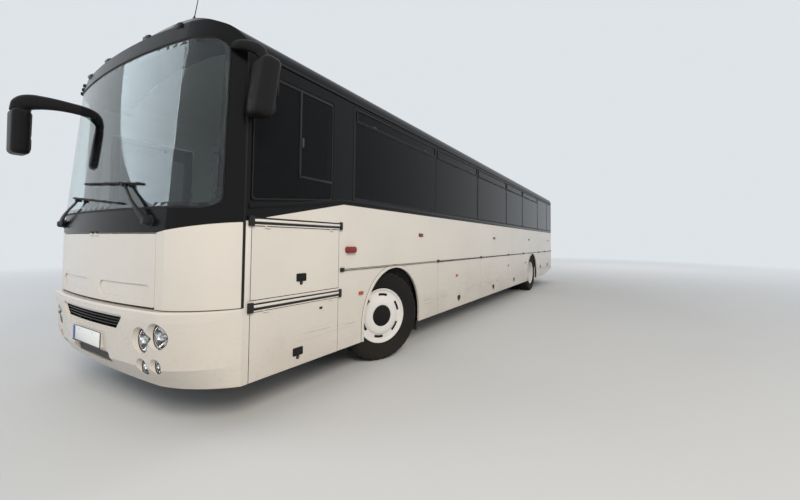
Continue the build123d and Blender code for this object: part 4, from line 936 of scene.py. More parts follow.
# Studio
@dataclass
class Studio:
    """Floor, lights, background and the camera of the photograph."""

    eye: Place = (3.578, -7.4235, 1.343)
    yaw: float = -31.988
    pitch: float = 2.102
    roll: float = 0.584
    lens: float = 16.395
    shift: float = -0.0273
    floor_reach: float = 400.0
    fade: Spot = (4.6, 19.0)
    backdrop: Colour = (0.80, 0.84, 0.88)
    backdrop_strength: float = 0.92

    def camera(self) -> None:
        """Put the camera where the photograph was taken."""
        yaw, pitch, roll = (math.radians(angle) for angle in (self.yaw, self.pitch, self.roll))
        ahead = Vector((math.sin(yaw) * math.cos(pitch), math.cos(yaw) * math.cos(pitch), math.sin(pitch)))
        right = Vector((math.cos(yaw), -math.sin(yaw), 0))
        up = right.cross(ahead)
        across = right * math.cos(roll) + up * math.sin(roll)
        top = up * math.cos(roll) - right * math.sin(roll)
        data = bpy.data.cameras.new("photo_camera")
        data.lens, data.sensor_width, data.shift_y = self.lens, 36.0, self.shift
        data.clip_start, data.clip_end = 0.05, 900.0
        made = placed("photo_camera", data)
        turn = Matrix((across, top, -ahead)).transposed().to_4x4()
        made.matrix_world = Matrix.Translation(self.eye) @ turn
        bpy.context.scene.camera = made

    def floor(self) -> None:
        """Plain pale floor that keeps the coach's shadow."""
        bpy.ops.mesh.primitive_plane_add(size=self.floor_reach)
        made = bpy.context.object
        made.name = "floor"
        material = bpy.data.materials.new("floor")
        material.use_nodes = True
        tree = Tree(material.node_tree)
        shader = material.node_tree.nodes["Principled BSDF"]
        patches = tree.span(tree.noise(0.4, 3), 0.3, 0.7)
        grey, pale = tint((0.60, 0.595, 0.585)), tint((0.62, 0.615, 0.605))
        tree.feed(shader.inputs["Base Color"], tree.mix(patches, grey, pale))
        shader.inputs["Roughness"].default_value = 0.85
        far = tree.node("ShaderNodeEmission")
        far.inputs["Color"].default_value = tint(self.backdrop)
        far.inputs["Strength"].default_value = self.backdrop_strength
        x, y, _ = tree.axes()
        near = tree.math("MULTIPLY", y, 0.62)
        squares = tree.math("ADD", tree.math("MULTIPLY", x, x), tree.math("MULTIPLY", near, near))
        reach = tree.math("SQRT", squares)
        blend = tree.node("ShaderNodeMixShader")
        tree.feed(blend.inputs[0], tree.span(reach, self.fade[0], self.fade[1]))
        tree.tree.links.new(shader.outputs[0], blend.inputs[1])
        tree.tree.links.new(far.outputs[0], blend.inputs[2])
        tree.tree.links.new(blend.outputs[0], material.node_tree.nodes["Material Output"].inputs["Surface"])
        made.data.materials.append(material)

    def background(self) -> None:
        """Pale background that also shows in glass and metal, over a plain fill light."""
        world = bpy.data.worlds.new("studio")
        world.use_nodes = True
        bpy.context.scene.world = world
        tree = Tree(world.node_tree)
        shader = world.node_tree.nodes["Background"]
        rays = tree.node("ShaderNodeLightPath")
        seen = tree.math("MAXIMUM", rays.outputs["Is Camera Ray"], rays.outputs["Is Transmission Ray"])
        seen = tree.math("MAXIMUM", seen, rays.outputs["Is Glossy Ray"])
        tree.feed(shader.inputs["Color"], tree.mix(seen, tint((0.78, 0.84, 0.92)), tint(self.backdrop)))
        tree.feed(shader.inputs["Strength"], tree.span(seen, 0, 1, 0.55, self.backdrop_strength))

    def lamp(self, name: str, spot: Place, aim: Place, size: float, power: float, colour: Colour) -> None:
        """One large soft lamp.

        Args:
            name: its name.
            spot: where it stands.
            aim: where it points.
            size: its width.
            power: in watts.
            colour: its colour.
        """
        data = bpy.data.lights.new(name, "AREA")
        data.shape, data.size, data.energy, data.color = "DISK", size, power, colour
        made = placed(name, data)
        made.location = spot
        made.rotation_mode = "QUATERNION"
        made.rotation_quaternion = (Vector(aim) - Vector(spot)).to_track_quat("-Z", "Y")
        made.visible_glossy = False

    def build(self) -> None:
        """Make the whole studio."""
        self.camera()
        self.floor()
        self.background()
        self.lamp("key", (13, -13, 11), (0, -2, 1), 7, 2300, (1.0, 0.93, 0.82))
        self.lamp("fill", (-10, -14, 8), (0, -2, 1), 9, 800, (0.85, 0.92, 1.0))
        self.lamp("back", (4, 20, 10), (0, 2, 1), 9, 900, (1.0, 0.97, 0.92))
        bpy.context.scene.view_settings.view_transform = "Standard"


# Sides
@dataclass
class SideTrim:
    """Window band, rails, lamps, mouldings, arch lips and mud flap on one side."""

    side: Side
    dividers: tuple[float, ...] = (1.190, 3.040, 4.730, 6.580, 8.050, 9.900, 11.350, 12.080)
    glass_low: float = 1.740
    glass_high: float = 2.690
    hopper_low: float = 2.545
    rail_z: float = 1.059
    arches: tuple[float, ...] = (1.975, 9.190)
    arch_radius: float = 0.580
    arch_z: float = 0.460
    tail: float = 12.12
    doorway: Spot = (6.86, 7.99)
    hoppers: int = 5

    def at(self, out: float, back: float, z: float) -> Vector:
        """Point this far outside the skin."""
        return Vector((self.side.value * (SIDE_X + out), behind(back), z))

    def bar(self, sheet: Sheet, back: Spot, height: Spot, out: Spot, bevel: float = 0.002) -> None:
        """Block on the side between places behind the seam, heights and depths.

        Args:
            sheet: mesh that takes it.
            back: its two ends.
            height: its two heights.
            out: inner and outer distance from the skin.
            bevel: radius of the edges.
        """
        low = self.at(out[0], back[0], height[0])
        high = self.at(out[1], back[1], height[1])
        sheet.slab([min(a, b) for a, b in zip(low, high)], [max(a, b) for a, b in zip(low, high)], bevel, 2)

    def frame_ring(
        self, sheet: Sheet, back: Spot, height: Spot, width: float, out: Spot, radius: float = 0.03
    ) -> None:
        """Flat rounded frame on the side.

        Args:
            sheet: mesh that takes it.
            back: its two ends.
            height: its two heights.
            width: its breadth.
            out: inner and outer distance from the skin.
            radius: radius of its corners.
        """
        middle = (sum(back) / 2, sum(height) / 2)
        size = (back[1] - back[0], height[1] - height[0])
        rings = []
        for depth, shrink in ((out[0], 0), (out[1], 0.001), (out[1], width), (out[0], width + 0.001)):
            section = rounded(size[0] - 2 * shrink, size[1] - 2 * shrink, max(0.004, radius - shrink * 0.5))
            rings.append([self.at(depth, middle[0] + a, middle[1] + b) for a, b in section])
        sheet.loft(rings, capped=False, loop=True)

    def windows(self) -> None:
        """Frames round the panes and the opening top panes."""
        frames, hoppers, handles = Sheet(), Sheet(), Sheet()
        low, sill, high = self.glass_low, self.hopper_low, self.glass_high
        spans = list(zip(self.dividers, self.dividers[1:]))
        if self.side is Side.RIGHT:
            spans = [span for span in spans if not 6.5 < span[0] < 7.9]
        for index, (start, end) in enumerate(spans):
            pane = (low + 0.004, high - 0.004)
            self.frame_ring(frames, (start + 0.004, end - 0.004), pane, 0.030, (-0.001, 0.0015), 0.02)
            if index < self.hoppers:
                self.bar(frames, (start + 0.03, end - 0.03), (sill - 0.016, sill + 0.004), (-0.001, 0.006))
                pane = (sill + 0.004, high - 0.022)
                self.frame_ring(hoppers, (start + 0.045, end - 0.045), pane, 0.010, (0.0, 0.009), 0.012)
                for at in (start + 0.35, end - 0.35):
                    self.bar(handles, (at - 0.03, at + 0.03), (sill + 0.012, sill + 0.026), (0.004, 0.012))
        frames.piece(f"window_frames_{self.side.word}", SEAL)
        hoppers.piece(f"hopper_frames_{self.side.word}", TRIM_BLACK)
        handles.piece(f"hopper_catches_{self.side.word}", DARK_PLASTIC)

    def mouldings(self) -> None:
        """Dark moulding above the belt line, and the gutter."""
        turns = [math.pi * step / 8 - math.pi / 2 for step in range(9)]
        section = [(0.011 * math.cos(turn), 0.021 * math.sin(turn)) for turn in turns]
        belt = Sheet()
        points = []
        start = 0.03 if self.side is Side.LEFT else 1.0
        for step in range(60):
            back = start + (self.tail - start) * (step / 59) ** 2.2
            bend = smooth_step((back - 0.2) / 1.3)
            points.append((back, 1.585 + 0.1 * min(back, 1.05) / 1.05 * 1.2 + 0.022 * bend))
        if self.side is Side.LEFT:
            rings = [[self.at(a - 0.001, back, z + b) for a, b in section] for back, z in points]
            belt.loft(rings)
        else:
            for first, last in ((start, self.doorway[0]), (self.doorway[1], self.tail)):
                ends = (first, last)
                belt.loft([[self.at(a - 0.001, end, 1.716 + b) for a, b in section] for end in ends])
        belt.piece(f"belt_moulding_{self.side.word}", GLOSS_BLACK)
        gutter = Sheet()
        first, last = 0.27, 12.15
        lip = (
            (-0.004, 2.716), (0.012, 2.716), (0.014, 2.726), (0.006, 2.727), (0.004, 2.738), (-0.004, 2.738),
        )
        gutter.prism([self.at(a, first, b) for a, b in lip], (0, last - first, 0))
        gutter.piece(f"gutter_{self.side.word}", TRIM_BLACK)

    def rails(self) -> None:
        """Strips on the rails, with their end caps."""
        pale, dark = Sheet(), Sheet()
        rail = self.rail_z
        if self.side is Side.LEFT:
            for start, end, low in ((0.035, 1.033, 1.450), (0.042, 1.030, 0.823)):
                self.bar(pale, (start + 0.03, end - 0.03), (low + 0.030, low + 0.047), (0.008, 0.0135), 0.003)
                for z, wide in ((low + 0.009, 0.019), (low + 0.049, 0.012)):
                    self.bar(dark, (start + 0.01, end - 0.01), (z, z + wide), (0.008, 0.013), 0.003)
                for first, last in ((start - 0.010, start + 0.038), (end - 0.034, end)):
                    self.bar(dark, (first, last), (low - 0.005, low + 0.069), (0.004, 0.020), 0.004)
        stops = (1.043, 3.11, 4.91, 6.725, 8.16, 10.02, 10.99, 12.08)
        spans = ((1.04, 12.09),) if self.side is Side.LEFT else ((1.04, 6.85), (8.0, 12.09))
        for start, end in spans:
            back = (max(start, 3.11), end)
            self.bar(dark, (start, end), (rail + 0.0005, rail + 0.0065), (0.008, 0.0125), 0.001)
            self.bar(dark, back, (rail - 0.0015, rail + 0.009), (0.008, 0.0130), 0.001)
            self.bar(dark, (start, end), (rail + 0.0125, rail + 0.0175), (0.008, 0.0125), 0.001)
            for stop in stops:
                if start <= stop <= end:
                    wide = 0.026 if stop < 3 else 0.032
                    ends = (stop - wide, stop + wide)
                    self.bar(dark, ends, (rail - 0.008, rail + 0.030), (0.004, 0.017), 0.003)
        if self.side is Side.LEFT:
            pale.piece("rail_strips_left", WHITE_TRIM)
        else:
            pale.bm.free()
        dark.piece(f"rail_edges_{self.side.word}", TRIM_BLACK)

    def lamps(self) -> None:
        """Side lamps and reflectors."""
        red, amber, frames = Sheet(), Sheet(), Sheet()
        back, z, length, height, cut = 1.164, 1.258, 0.150, 0.062, 0.017
        corners = ((0.5, cut), (0.5 - cut / length, 0.0), (cut / length - 0.5, 0.0), (-0.5, cut))
        outline = [(a * length, b - height / 2) for a, b in corners]
        outline += [(a, -b) for a, b in reversed(outline)]
        rings = []
        for deep, share in ((-0.001, 1.0), (0.022, 1.0), (0.030, 0.93), (0.033, 0.80)):
            rings.append([self.at(deep, back + a * share, z + b * share) for a, b in outline])
        red.loft(rings)
        for back in (2.60, 5.708, 8.793, 11.6):
            self.bar(red, (back - 0.052, back + 0.052), (1.410, 1.448), (0.001, 0.012), 0.004)
            self.bar(frames, (back - 0.055, back + 0.055), (1.407, 1.451), (-0.001, 0.005), 0.002)
        for back, z in ((1.339, 0.818), (3.79, 0.817), (6.74, 0.826), (8.40, 0.82)):
            self.bar(amber, (back - 0.035, back + 0.035), (z - 0.017, z + 0.017), (0.001, 0.013), 0.005)
        red.piece(f"side_markers_red_{self.side.word}", LENS_RED)
        amber.piece(f"side_markers_amber_{self.side.word}", LENS_AMBER)
        frames.piece(f"side_marker_bases_{self.side.word}", TRIM_BLACK)

    def arch_lips(self) -> None:
        """Raised lips that follow the wheel arches down to the sill, each with a thin dark strip along its outer
        edge that is a painted shadow line.
        """
        word = self.side.word
        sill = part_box(f"side_{word}")[0].z + 0.004
        section = (
            (0.036, -0.002), (0.035, 0.004), (0.030, 0.0075), (0.007, 0.009),
            (0.000, 0.006), (-0.001, -0.016), (0.004, -0.016), (0.004, -0.002),
        )
        # Thin dark strip along the lip's outer edge: a painted shadow line of the lip
        painted_shadow_section = ((0.0355, -0.001), (0.0395, -0.001), (0.0390, 0.0014), (0.0360, 0.0014))
        lips, painted_shadow_lines = Sheet(), Sheet()
        for arch in self.arches:
            stops = [(-1.0, 0.0, arch - self.arch_radius, sill)]
            for step in range(49):
                turn = math.pi * (1 - step / 48)
                along, rise = math.cos(turn), math.sin(turn)
                spot = (arch + self.arch_radius * along, self.arch_z + self.arch_radius * rise)
                stops.append((along, rise, *spot))
            stops.append((1.0, 0.0, arch + self.arch_radius, sill))
            for sheet, shape in ((lips, section), (painted_shadow_lines, painted_shadow_section)):
                rings = []
                for along, rise, back, z in stops:
                    ring = [self.at(out, back + grow * along, z + grow * rise) for grow, out in shape]
                    rings.append(ring)
                sheet.loft(rings)
        lips.piece(f"arch_lips_{word}", PAINT_PANEL)
        painted_shadow_lines.piece(f"arch_lip_beads_{word}", SEAL)

    def mud_flap(self) -> None:
        """Rubber flap on a bracket behind the front wheel."""
        rubber, bracket = Sheet(), Sheet()
        place = self.arches[0] + self.arch_radius + 0.028
        low, high = self.side.value * 0.930, self.side.value * 1.215
        rings = []
        for step in range(13):
            share = step / 12
            back = place + 0.030 * share * share
            z = 0.640 - 0.455 * share
            corners = ((low, 0), (high, 0), (high, 0.008), (low, 0.008))
            rings.append([behind_point(x, back + deep, z) for x, deep in corners])
        rubber.loft(rings)
        self.bar(bracket, (place + 0.008, place + 0.016), (0.560, 0.645), (-0.345, -0.010), 0.002)
        rubber.piece(f"mud_flap_{self.side.word}", SEAL)
        bracket.piece(f"mud_flap_bracket_{self.side.word}", FRAME_PAINT)

    def build(self) -> None:
        """Make all trim of the side."""
        self.windows()
        self.arch_lips()
        self.mud_flap()
        self.mouldings()
        self.rails()
        self.lamps()


@dataclass
class Flap:
    """Dress of one side flap: latch with its key lock, and a plug where it has one."""

    node: str
    side: Side
    latch: Spot
    plug: Optional[Spot] = None
    width: float = 0.106
    height: float = 0.066

    def build(self) -> None:
        """Recessed black latch with a paddle, and the lock barrel below it."""
        trim = SideTrim(self.side)
        back, z = self.latch
        wide, high = self.width / 2, self.height / 2
        case, lock = Sheet(), Sheet()
        first, last, low, top = back - wide, back + wide, z - high, z + high
        trim.frame_ring(case, (first, last), (low, top), 0.008, (-0.001, 0.005), 0.008)
        trim.bar(case, (first + 0.007, last - 0.007), (low + 0.007, top - 0.007), (-0.012, 0.001), 0.001)
        trim.bar(case, (first + 0.012, last - 0.012), (z - 0.004, top - 0.011), (0.0, 0.0042), 0.0015)
        foot, out = trim.at(0, back, low - 0.013), (self.side.value, 0, 0)
        case.lathe(((-0.001, 0.016), (0.004, 0.016), (0.006, 0.014), (0.006, 0.0075)), foot, out, 24)
        lock.lathe(((0.002, 0.0075), (0.0085, 0.0075), (0.0095, 0.006), (0.0095, 0.0)), foot, out, 20)
        if self.plug:
            rings = []
            for shrink, out in ((0.0, -0.002), (0.0, 0.003), (0.003, 0.005)):
                section = rounded(0.038 - 2 * shrink, 0.020 - 2 * shrink, 0.009 - shrink, 5)
                rings.append([trim.at(out, self.plug[0] + a, self.plug[1] + b) for a, b in section])
            case.loft(rings)
        case.piece(f"latch_{self.node}", LATCH_BLACK, self.node)
        lock.piece(f"lock_{self.node}", CASTING, self.node)
        coat_node(self.node, PAINT_FLAP)


# Wheels
@dataclass
class Wheel:
    """Tyres and rims of one wheel body, dressed about its axle."""

    body: str
    joint: str
    side: Side
    centres: tuple[float, ...]
    steered: bool
    radius: float = 0.500
    half_width: float = 0.146
    segments: int = 144
    slots: int = 6
    slot_turn: float = 0.117
    slot_half: float = 0.23
    holes: int = 10

    def axis(self) -> tuple[Vector, Vector]:
        """Axle's origin and its outward direction from the frame's joint.

        Returns:
            The origin and the direction.
        """
        joint = next(item for item in frame["joints"] if item["name"] == self.joint)
        out = Vector(joint["axis"]).normalized()
        if out.x * self.side.value < 0:
            out = -out
        origin = Vector(joint["pos_m"])
        if not self.steered:
            origin.x = 0.0
        return origin, out

    def tyre(self) -> None:
        """Tyres with ribs, shoulder lugs and sidewall rings."""
        origin, out = self.axis()
        half, top = self.half_width, self.radius
        side = (
            (0.114, 0.3035), (0.126, 0.312), (0.131, 0.322), (0.1325, 0.334), (0.139, 0.356), (0.1425, 0.380),
            (0.1445, 0.3815), (0.1445, 0.3885), (0.1435, 0.390), (half, 0.410), (0.1455, 0.432),
            (0.1435, 0.450), (0.1452, 0.4515), (0.1452, 0.457), (0.1425, 0.4585), (0.139, 0.472),
            (0.134, 0.484), (0.127, 0.4925),
        )
        tread = []
        for edge in (0.082, 0.034):
            tread += [(edge + 0.0055, top - 0.003), (edge + 0.0045, top - 0.015)]
            tread += [(edge - 0.0045, top - 0.015), (edge - 0.0055, top - 0.002)]
        right = list(side) + [(0.120, top - 0.005)] + tread
        profile = right + [(-a, r) for a, r in reversed(right)]
        shoulder = {index for index, (a, r) in enumerate(profile) if 0.0875 < abs(a) and r > 0.484}
        sheet = Sheet()
        start = out.cross(Vector((0, 0, 1))).normalized()
        for centre in self.centres:
            rings = []
            for step in range(self.segments):
                arm = Quaternion(out, 2 * math.pi * step / self.segments) @ start
                notch = 0.011 if step % 4 == 0 else 0.0
                ring = []
                for index, (along, radius) in enumerate(profile):
                    lowered = radius - notch if index in shoulder else radius
                    ring.append(origin + out * (centre + along) + arm * lowered)
                rings.append(ring)
            sheet.loft(rings, closed=True, capped=False, loop=True)
        node = f"tyre_front_{self.side.word}" if self.steered else f"tyres_rear_{self.side.word}"
        made = sheet.piece(f"{node}_tread", TYRE_RUBBER, self.body, sharp=28)
        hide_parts(node)

    def cover(self) -> None:
        """White cover over the front rim: dished ring with six slots and a bulged black centre."""
        origin, out = self.axis()
        centre = self.centres[0]
        profile = (
            (0.112, 0.290), (0.127, 0.3035), (0.133, 0.306), (0.137, 0.301), (0.133, 0.291), (0.122, 0.283),
            (0.116, 0.274), (0.115, 0.262), (0.116, 0.2505), (0.116, 0.2235), (0.118, 0.215), (0.129, 0.205),
            (0.136, 0.190), (0.140, 0.170), (0.142, 0.145), (0.142, 0.126), (0.140, 0.118),
        )

        def slot(step: int, place: int) -> bool:
            """Whether a face of the cover lies in a slot."""
            turn = (step / self.segments * self.slots + self.slot_turn) % 1
            return profile[place][1] == 0.2505 and 0.5 - self.slot_half < turn < 0.5 + self.slot_half

        sheet = Sheet()
        sheet.lathe([(centre + a, r) for a, r in profile], origin, out, self.segments, skip=slot)
        made = sheet.piece(f"wheel_cover_{self.side.word}", COVER_PAINT, self.body)
        made.modifiers.new("wall", "SOLIDIFY").thickness = 0.0035
        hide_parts(f"rim_front_{self.side.word}")
        hub = Sheet()
        dome = [
            (0.134, 0.1165), (0.142, 0.1165), (0.147, 0.110), (0.150, 0.092), (0.152, 0.065),
            (0.1525, 0.035), (0.153, 0.0),
        ]
        hub.lathe([(centre + a, r) for a, r in dome], origin, out, 64)
        hub.piece(f"wheel_centre_{self.side.word}", GLOSS_BLACK, self.body)
        behind_slots = Sheet()
        disc = [
            (0.090, 0.280), (0.095, 0.2), (0.100, 0.10), (0.06, 0.10), (0.0, 0.095), (-0.05, 0.095),
            (-0.05, 0.05),
        ]
        behind_slots.lathe([(centre + a, r) for a, r in disc], origin, out, 64)
        barrel = [
            (0.112, 0.2905), (0.09, 0.283), (-0.10, 0.276), (-0.122, 0.290), (-0.126, 0.303),
            (-0.114, 0.303), (-0.112, 0.287),
        ]
        behind_slots.lathe([(centre + a, r) for a, r in barrel], origin, out, 72)
        behind_slots.piece(f"rim_inside_{self.side.word}", FRAME_PAINT, self.body, thickness=0.004)

    def dished(self) -> None:
        """Dished outer rear rim with hand holes, nuts and the hub."""
        origin, out = self.axis()
        outer = self.centres[-1]
        profile = (
            (0.112, 0.290), (0.126, 0.303), (0.131, 0.300), (0.128, 0.290), (0.112, 0.282), (0.02, 0.276),
            (-0.060, 0.270), (-0.085, 0.262), (-0.094, 0.245), (-0.090, 0.215), (-0.086, 0.190),
            (-0.088, 0.165), (-0.088, 0.105),
        )

        def hole(step: int, place: int) -> bool:
            """Whether a face of the disc lies in a hand hole."""
            turn = (step / self.segments * self.holes) % 1
            return profile[place][1] in (0.245, 0.215) and 0.34 < turn < 0.66

        sheet = Sheet()
        sheet.lathe([(outer + a, r) for a, r in profile], origin, out, self.segments, skip=hole)
        made = sheet.piece(f"rim_dish_{self.side.word}", COVER_PAINT, self.body, sharp=30)
        made.modifiers.new("wall", "SOLIDIFY").thickness = 0.006
        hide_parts(f"rims_rear_{self.side.word}")
        nuts = Sheet()
        nut = ((0.0, 0.017), (0.018, 0.016), (0.022, 0.012), (0.034, 0.011), (0.036, 0.0))
        start = out.cross(Vector((0, 0, 1))).normalized()
        for step in range(self.holes):
            arm = Quaternion(out, 2 * math.pi * (step + 0.5) / self.holes) @ start
            foot = origin + out * (outer - 0.086) + arm * 0.1675
            nuts.lathe(nut, foot, out, 6)
        nuts.piece(f"wheel_nuts_{self.side.word}", CASTING, self.body)
        hub = Sheet()
        dome = [
            (-0.10, 0.150), (-0.084, 0.150), (-0.080, 0.128), (-0.03, 0.120), (0.028, 0.112), (0.040, 0.100),
            (0.046, 0.075), (0.048, 0.0),
        ]
        hub.lathe([(outer + a, r) for a, r in dome], origin, out, 48)
        inner = self.centres[0]
        barrel = [
            (0.100, 0.276), (-0.10, 0.276), (-0.122, 0.290), (-0.126, 0.303), (-0.114, 0.303),
            (-0.112, 0.287), (0.112, 0.287),
        ]
        hub.lathe([(inner + a, r) for a, r in barrel], origin, out, 72, closed=True)
        web = [(0.104, 0.276), (0.104, 0.100), (0.096, 0.100), (0.096, 0.276)]
        hub.lathe([(inner + a, r) for a, r in web], origin, out, 72, closed=True)
        hub.lathe([(inner - 0.12, 0.110), (outer - 0.10, 0.110)], origin, out, 48)
        barrel = [
            (-0.114, 0.303), (-0.126, 0.303), (-0.126, 0.290), (-0.10, 0.278), (0.0, 0.280), (0.0, 0.287),
            (-0.112, 0.287),
        ]
        hub.lathe([(outer + a, r) for a, r in barrel], origin, out, 72, closed=True)
        hub.piece(f"rear_hub_{self.side.word}", FRAME_PAINT, self.body)

    def build(self) -> None:
        """Make the wheel."""
        self.tyre()
        if self.steered:
            self.cover()
        else:
            self.dished()


def behind_point(x: float, back: float, z: float) -> Vector:
    """Point at a place behind the front corner seam."""
    return Vector((x, behind(back), z))


def on_node(node: str, x: float, z: float, sign: int = 1, out: float = 0.0) -> Optional[Vector]:
    """Point where a level ray along Y meets a frame node.

    Args:
        node: the node.
        x: place across.
        z: height.
        sign: 1 for a ray from the front, -1 for one from behind.
        out: distance outside the surface.

    Returns:
        The point, or nothing where the ray misses.
    """
    hit, point, _, _ = frame["nodes"][node].ray_cast(Vector((x, -12 * sign, z)), Vector((0, sign, 0)))
    return point - Vector((0, out * sign, 0)) if hit else None


def bent_path(stops: Sequence[Vector], radius: float, steps: int = 7) -> list[Vector]:
    """Points of a path through stops, with rounded corners.

    Args:
        stops: its corners.
        radius: length that a corner takes.
        steps: points of a corner.

    Returns:
        The points.
    """
    points = [stops[0]]
    for before, corner, after in zip(stops, stops[1:], stops[2:]):
        near = corner + (before - corner).normalized() * min(radius, (before - corner).length * 0.48)
        far = corner + (after - corner).normalized() * min(radius, (after - corner).length * 0.48)
        for step in range(steps + 1):
            share = step / steps
            points.append(near.lerp(corner, share).lerp(corner.lerp(far, share), share))
    return points + [stops[-1]]


# Front
@dataclass
class FrontEnd:
    """Lamps, intake, plate, seams and marker lamps of the front."""

    lamps: tuple[Place, ...] = (
        (0.763, 0.651, 0.082),
        (0.930, 0.692, 0.082),
        (0.752, 0.461, 0.055),
        (0.900, 0.486, 0.046),
    )
    plate_z: float = 0.588
    plate_back: float = -0.464
    intake: tuple[Spot, ...] = ((-0.446, 0.694), (0.446, 0.694), (0.530, 0.793), (-0.530, 0.793))
    markers: tuple[Spot, ...] = ((0.80, 2.905), (0.36, 2.935))
    screen: Place = (1.212, 1.562, 2.765)
    lens_turns: int = 40

    def lens_point(self, x: float, z: float) -> Vector:
        """Point on the frame's lens, or on the front where the ray misses it."""
        return on_node("lamps_front", x, z) or on_front(x, z)

    def polar(
        self, lamp: Place, shares: Sequence[float], deep: Callable[[float], float]
    ) -> list[list[Vector]]:
        """Rings about a lamp's middle that keep the slant of its lens.

        Args:
            lamp: x, z and radius.
            shares: share of the radius for each ring.
            deep: distance behind the lens at a share.

        Returns:
            The rings.
        """
        x, z, radius = lamp
        rings = []
        for share in shares:
            ring = []
            for step in range(self.lens_turns):
                turn = 2 * math.pi * step / self.lens_turns
                reach = radius * min(share, 0.96)
                foot = self.lens_point(x + reach * math.cos(turn), z + reach * math.sin(turn))
                out = radius * share
                at = Vector((x + out * math.cos(turn), foot.y, z + out * math.sin(turn)))
                ring.append(at + Vector((0, deep(share), 0)))
            rings.append(ring)
        return rings

    def lights(self) -> None:
        """Head and fog lamps: domed lens, reflector bowl, bulb and a dark bezel."""
        lenses, bowls, bezels, bulbs = Sheet(), Sheet(), Sheet(), Sheet()
        shares = (0.985, 0.9, 0.75, 0.55, 0.35, 0.15, 0.02)
        for sign in (1, -1):
            for x, z, radius in self.lamps:
                lamp = (sign * x, z, radius)
                dome = radius * 0.07
                lenses.loft(self.polar(lamp, shares, lambda share: -dome * (1 - share * share)), capped=False)
                lenses.bm.faces.new(list(lenses.bm.verts)[-self.lens_turns:])
                depth = radius * 0.72
                cup = (0.97, 0.93, 0.90, 0.80, 0.65, 0.48, 0.30, 0.17)
                bowl = self.polar(
                    lamp, cup, lambda share: 0.006 + (depth * (0.94 - share * share) if share < 0.92 else 0)
                )
                bowls.loft(bowl, capped=False)
                ring = [(1.035, 0.004), (1.03, -0.002), (1.0, -0.0035), (0.965, -0.001), (0.955, 0.005)]
                for (inner, low), (outer, high) in zip(ring, ring[1:]):
                    first = self.polar(lamp, (inner,), lambda share: low)
                    last = self.polar(lamp, (outer,), lambda share: high)
                    bezels.loft(first + last, capped=False)
                seat = self.lens_point(sign * x, z) + Vector((0, depth * 0.9, 0))
                bulb = [(-0.004, 0.016), (0.004, 0.016), (0.006, 0.009)]
                bulb += [(depth * share, wide) for share, wide in ((0.45, 0.009), (0.52, 0.006), (0.54, 0.0))]
                bulbs.lathe(bulb, seat, (0, -1, 0), 20)
        made = lenses.piece("front_lamp_lenses", GLASS_LAMP)
        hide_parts("lamps_front")
        bowls.piece("front_lamp_reflectors", REFLECTOR, thickness=0.0015)
        bezels.piece("front_lamp_bezels", TRIM_BLACK)
        bulbs.piece("front_lamp_bulbs", BARE_METAL)

    def intake_mesh(self) -> None:
        """Dark mesh behind the intake's slats, and a dark plate behind the tray slot that is painted shade
        inside it.
        """
        mesh = Sheet()
        back = behind(-0.405)
        mesh.prism([Vector((x, back, z)) for x, z in self.intake], (0, 0.004, 0))
        for step in range(-26, 27):
            x = step * 0.019
            mesh.slab((x - 0.0015, back - 0.006, 0.698), (x + 0.0015, back + 0.001, 0.790))
        for step in range(5):
            z = 0.706 + step * 0.0185
            mesh.slab((-0.49, back - 0.008, z), (0.49, back - 0.002, z + 0.003))
        # Dark plate behind the tray slot: painted shade that makes the slot read black inside
        tray_shade_plate = rounded(0.62, 0.075, 0.032, 6)
        mesh.prism([Vector((x, back, 0.470 + z)) for x, z in tray_shade_plate], (0, 0.004, 0))
        mesh.piece("intake_mesh", TRIM_BLACK)

    def plate(self) -> None:
        """Blank number plate with a plain band, in its holder."""
        front = behind(self.plate_back)
        z = self.plate_z
        holder, face, band, screws = Sheet(), Sheet(), Sheet(), Sheet()
        holder.slab((-0.265, front - 0.0045, z - 0.0625), (0.265, front, z + 0.0585), 0.003)
        holder.slab((-0.265, front - 0.0085, z - 0.0625), (0.265, front - 0.003, z - 0.0535), 0.002)
        face.slab((-0.258, front - 0.0066, z - 0.053), (0.258, front - 0.0045, z + 0.055), 0.001, 2)
        band.slab((-0.256, front - 0.0072, z - 0.051), (-0.214, front - 0.0062, z + 0.053), 0.0004, 2)
        for x in (-0.13, 0.13):
            foot = (x, front - 0.0066, z + 0.036)
            screws.lathe(((0.0, 0.006), (0.0015, 0.0055), (0.002, 0.0)), foot, (0, -1, 0), 16)
        holder.piece("plate_holder", DARK_PLASTIC)
        face.piece("plate_blank", PLATE_FACE)
        band.piece("plate_side_band", PLATE_BAND)
        screws.piece("plate_screws", BARE_METAL)

    def seams(self) -> None:
        """Rubber in the corner seams and round the screen."""
        rubber, posts, screen = Sheet(), Sheet(), Sheet()
        for side in Side:
            trim = SideTrim(side)
            trim.bar(rubber, (-0.010, 0.010), (0.862, 1.500), (-0.012, 0.0025), 0.002)
            trim.bar(rubber, (-0.008, 0.008), (1.50, 2.70), (-0.012, 0.0020), 0.002)
            trim.bar(posts, (0.013, 0.055), (0.90, 1.44), (-0.006, 0.003), 0.003)
        half, low, high = self.screen
        middle = (high + low) / 2
        path = [(x, z + middle) for x, z in filled(rounded(2 * half, high - low, 0.088, 7), 0.06)]
        rings = []
        for grow, out in ((0.012, 0.000), (0.010, 0.004), (-0.006, 0.004), (-0.012, -0.002)):
            ring = []
            for x, z in path:
                across = math.copysign(1, x) if abs(x) > 1.12 else 0
                rise = math.copysign(1, z - middle) if abs(z - middle) > 0.52 else 0
                ring.append(on_front(x, z, out) + Vector((across, 0, rise)) * grow * 0.7)
            rings.append(ring)
        screen.loft(rings, capped=False)
        rubber.piece("corner_seam_rubber", SEAL)
        posts.piece("corner_posts", WHITE_TRIM)
        screen.piece("screen_rubber", SEAL)

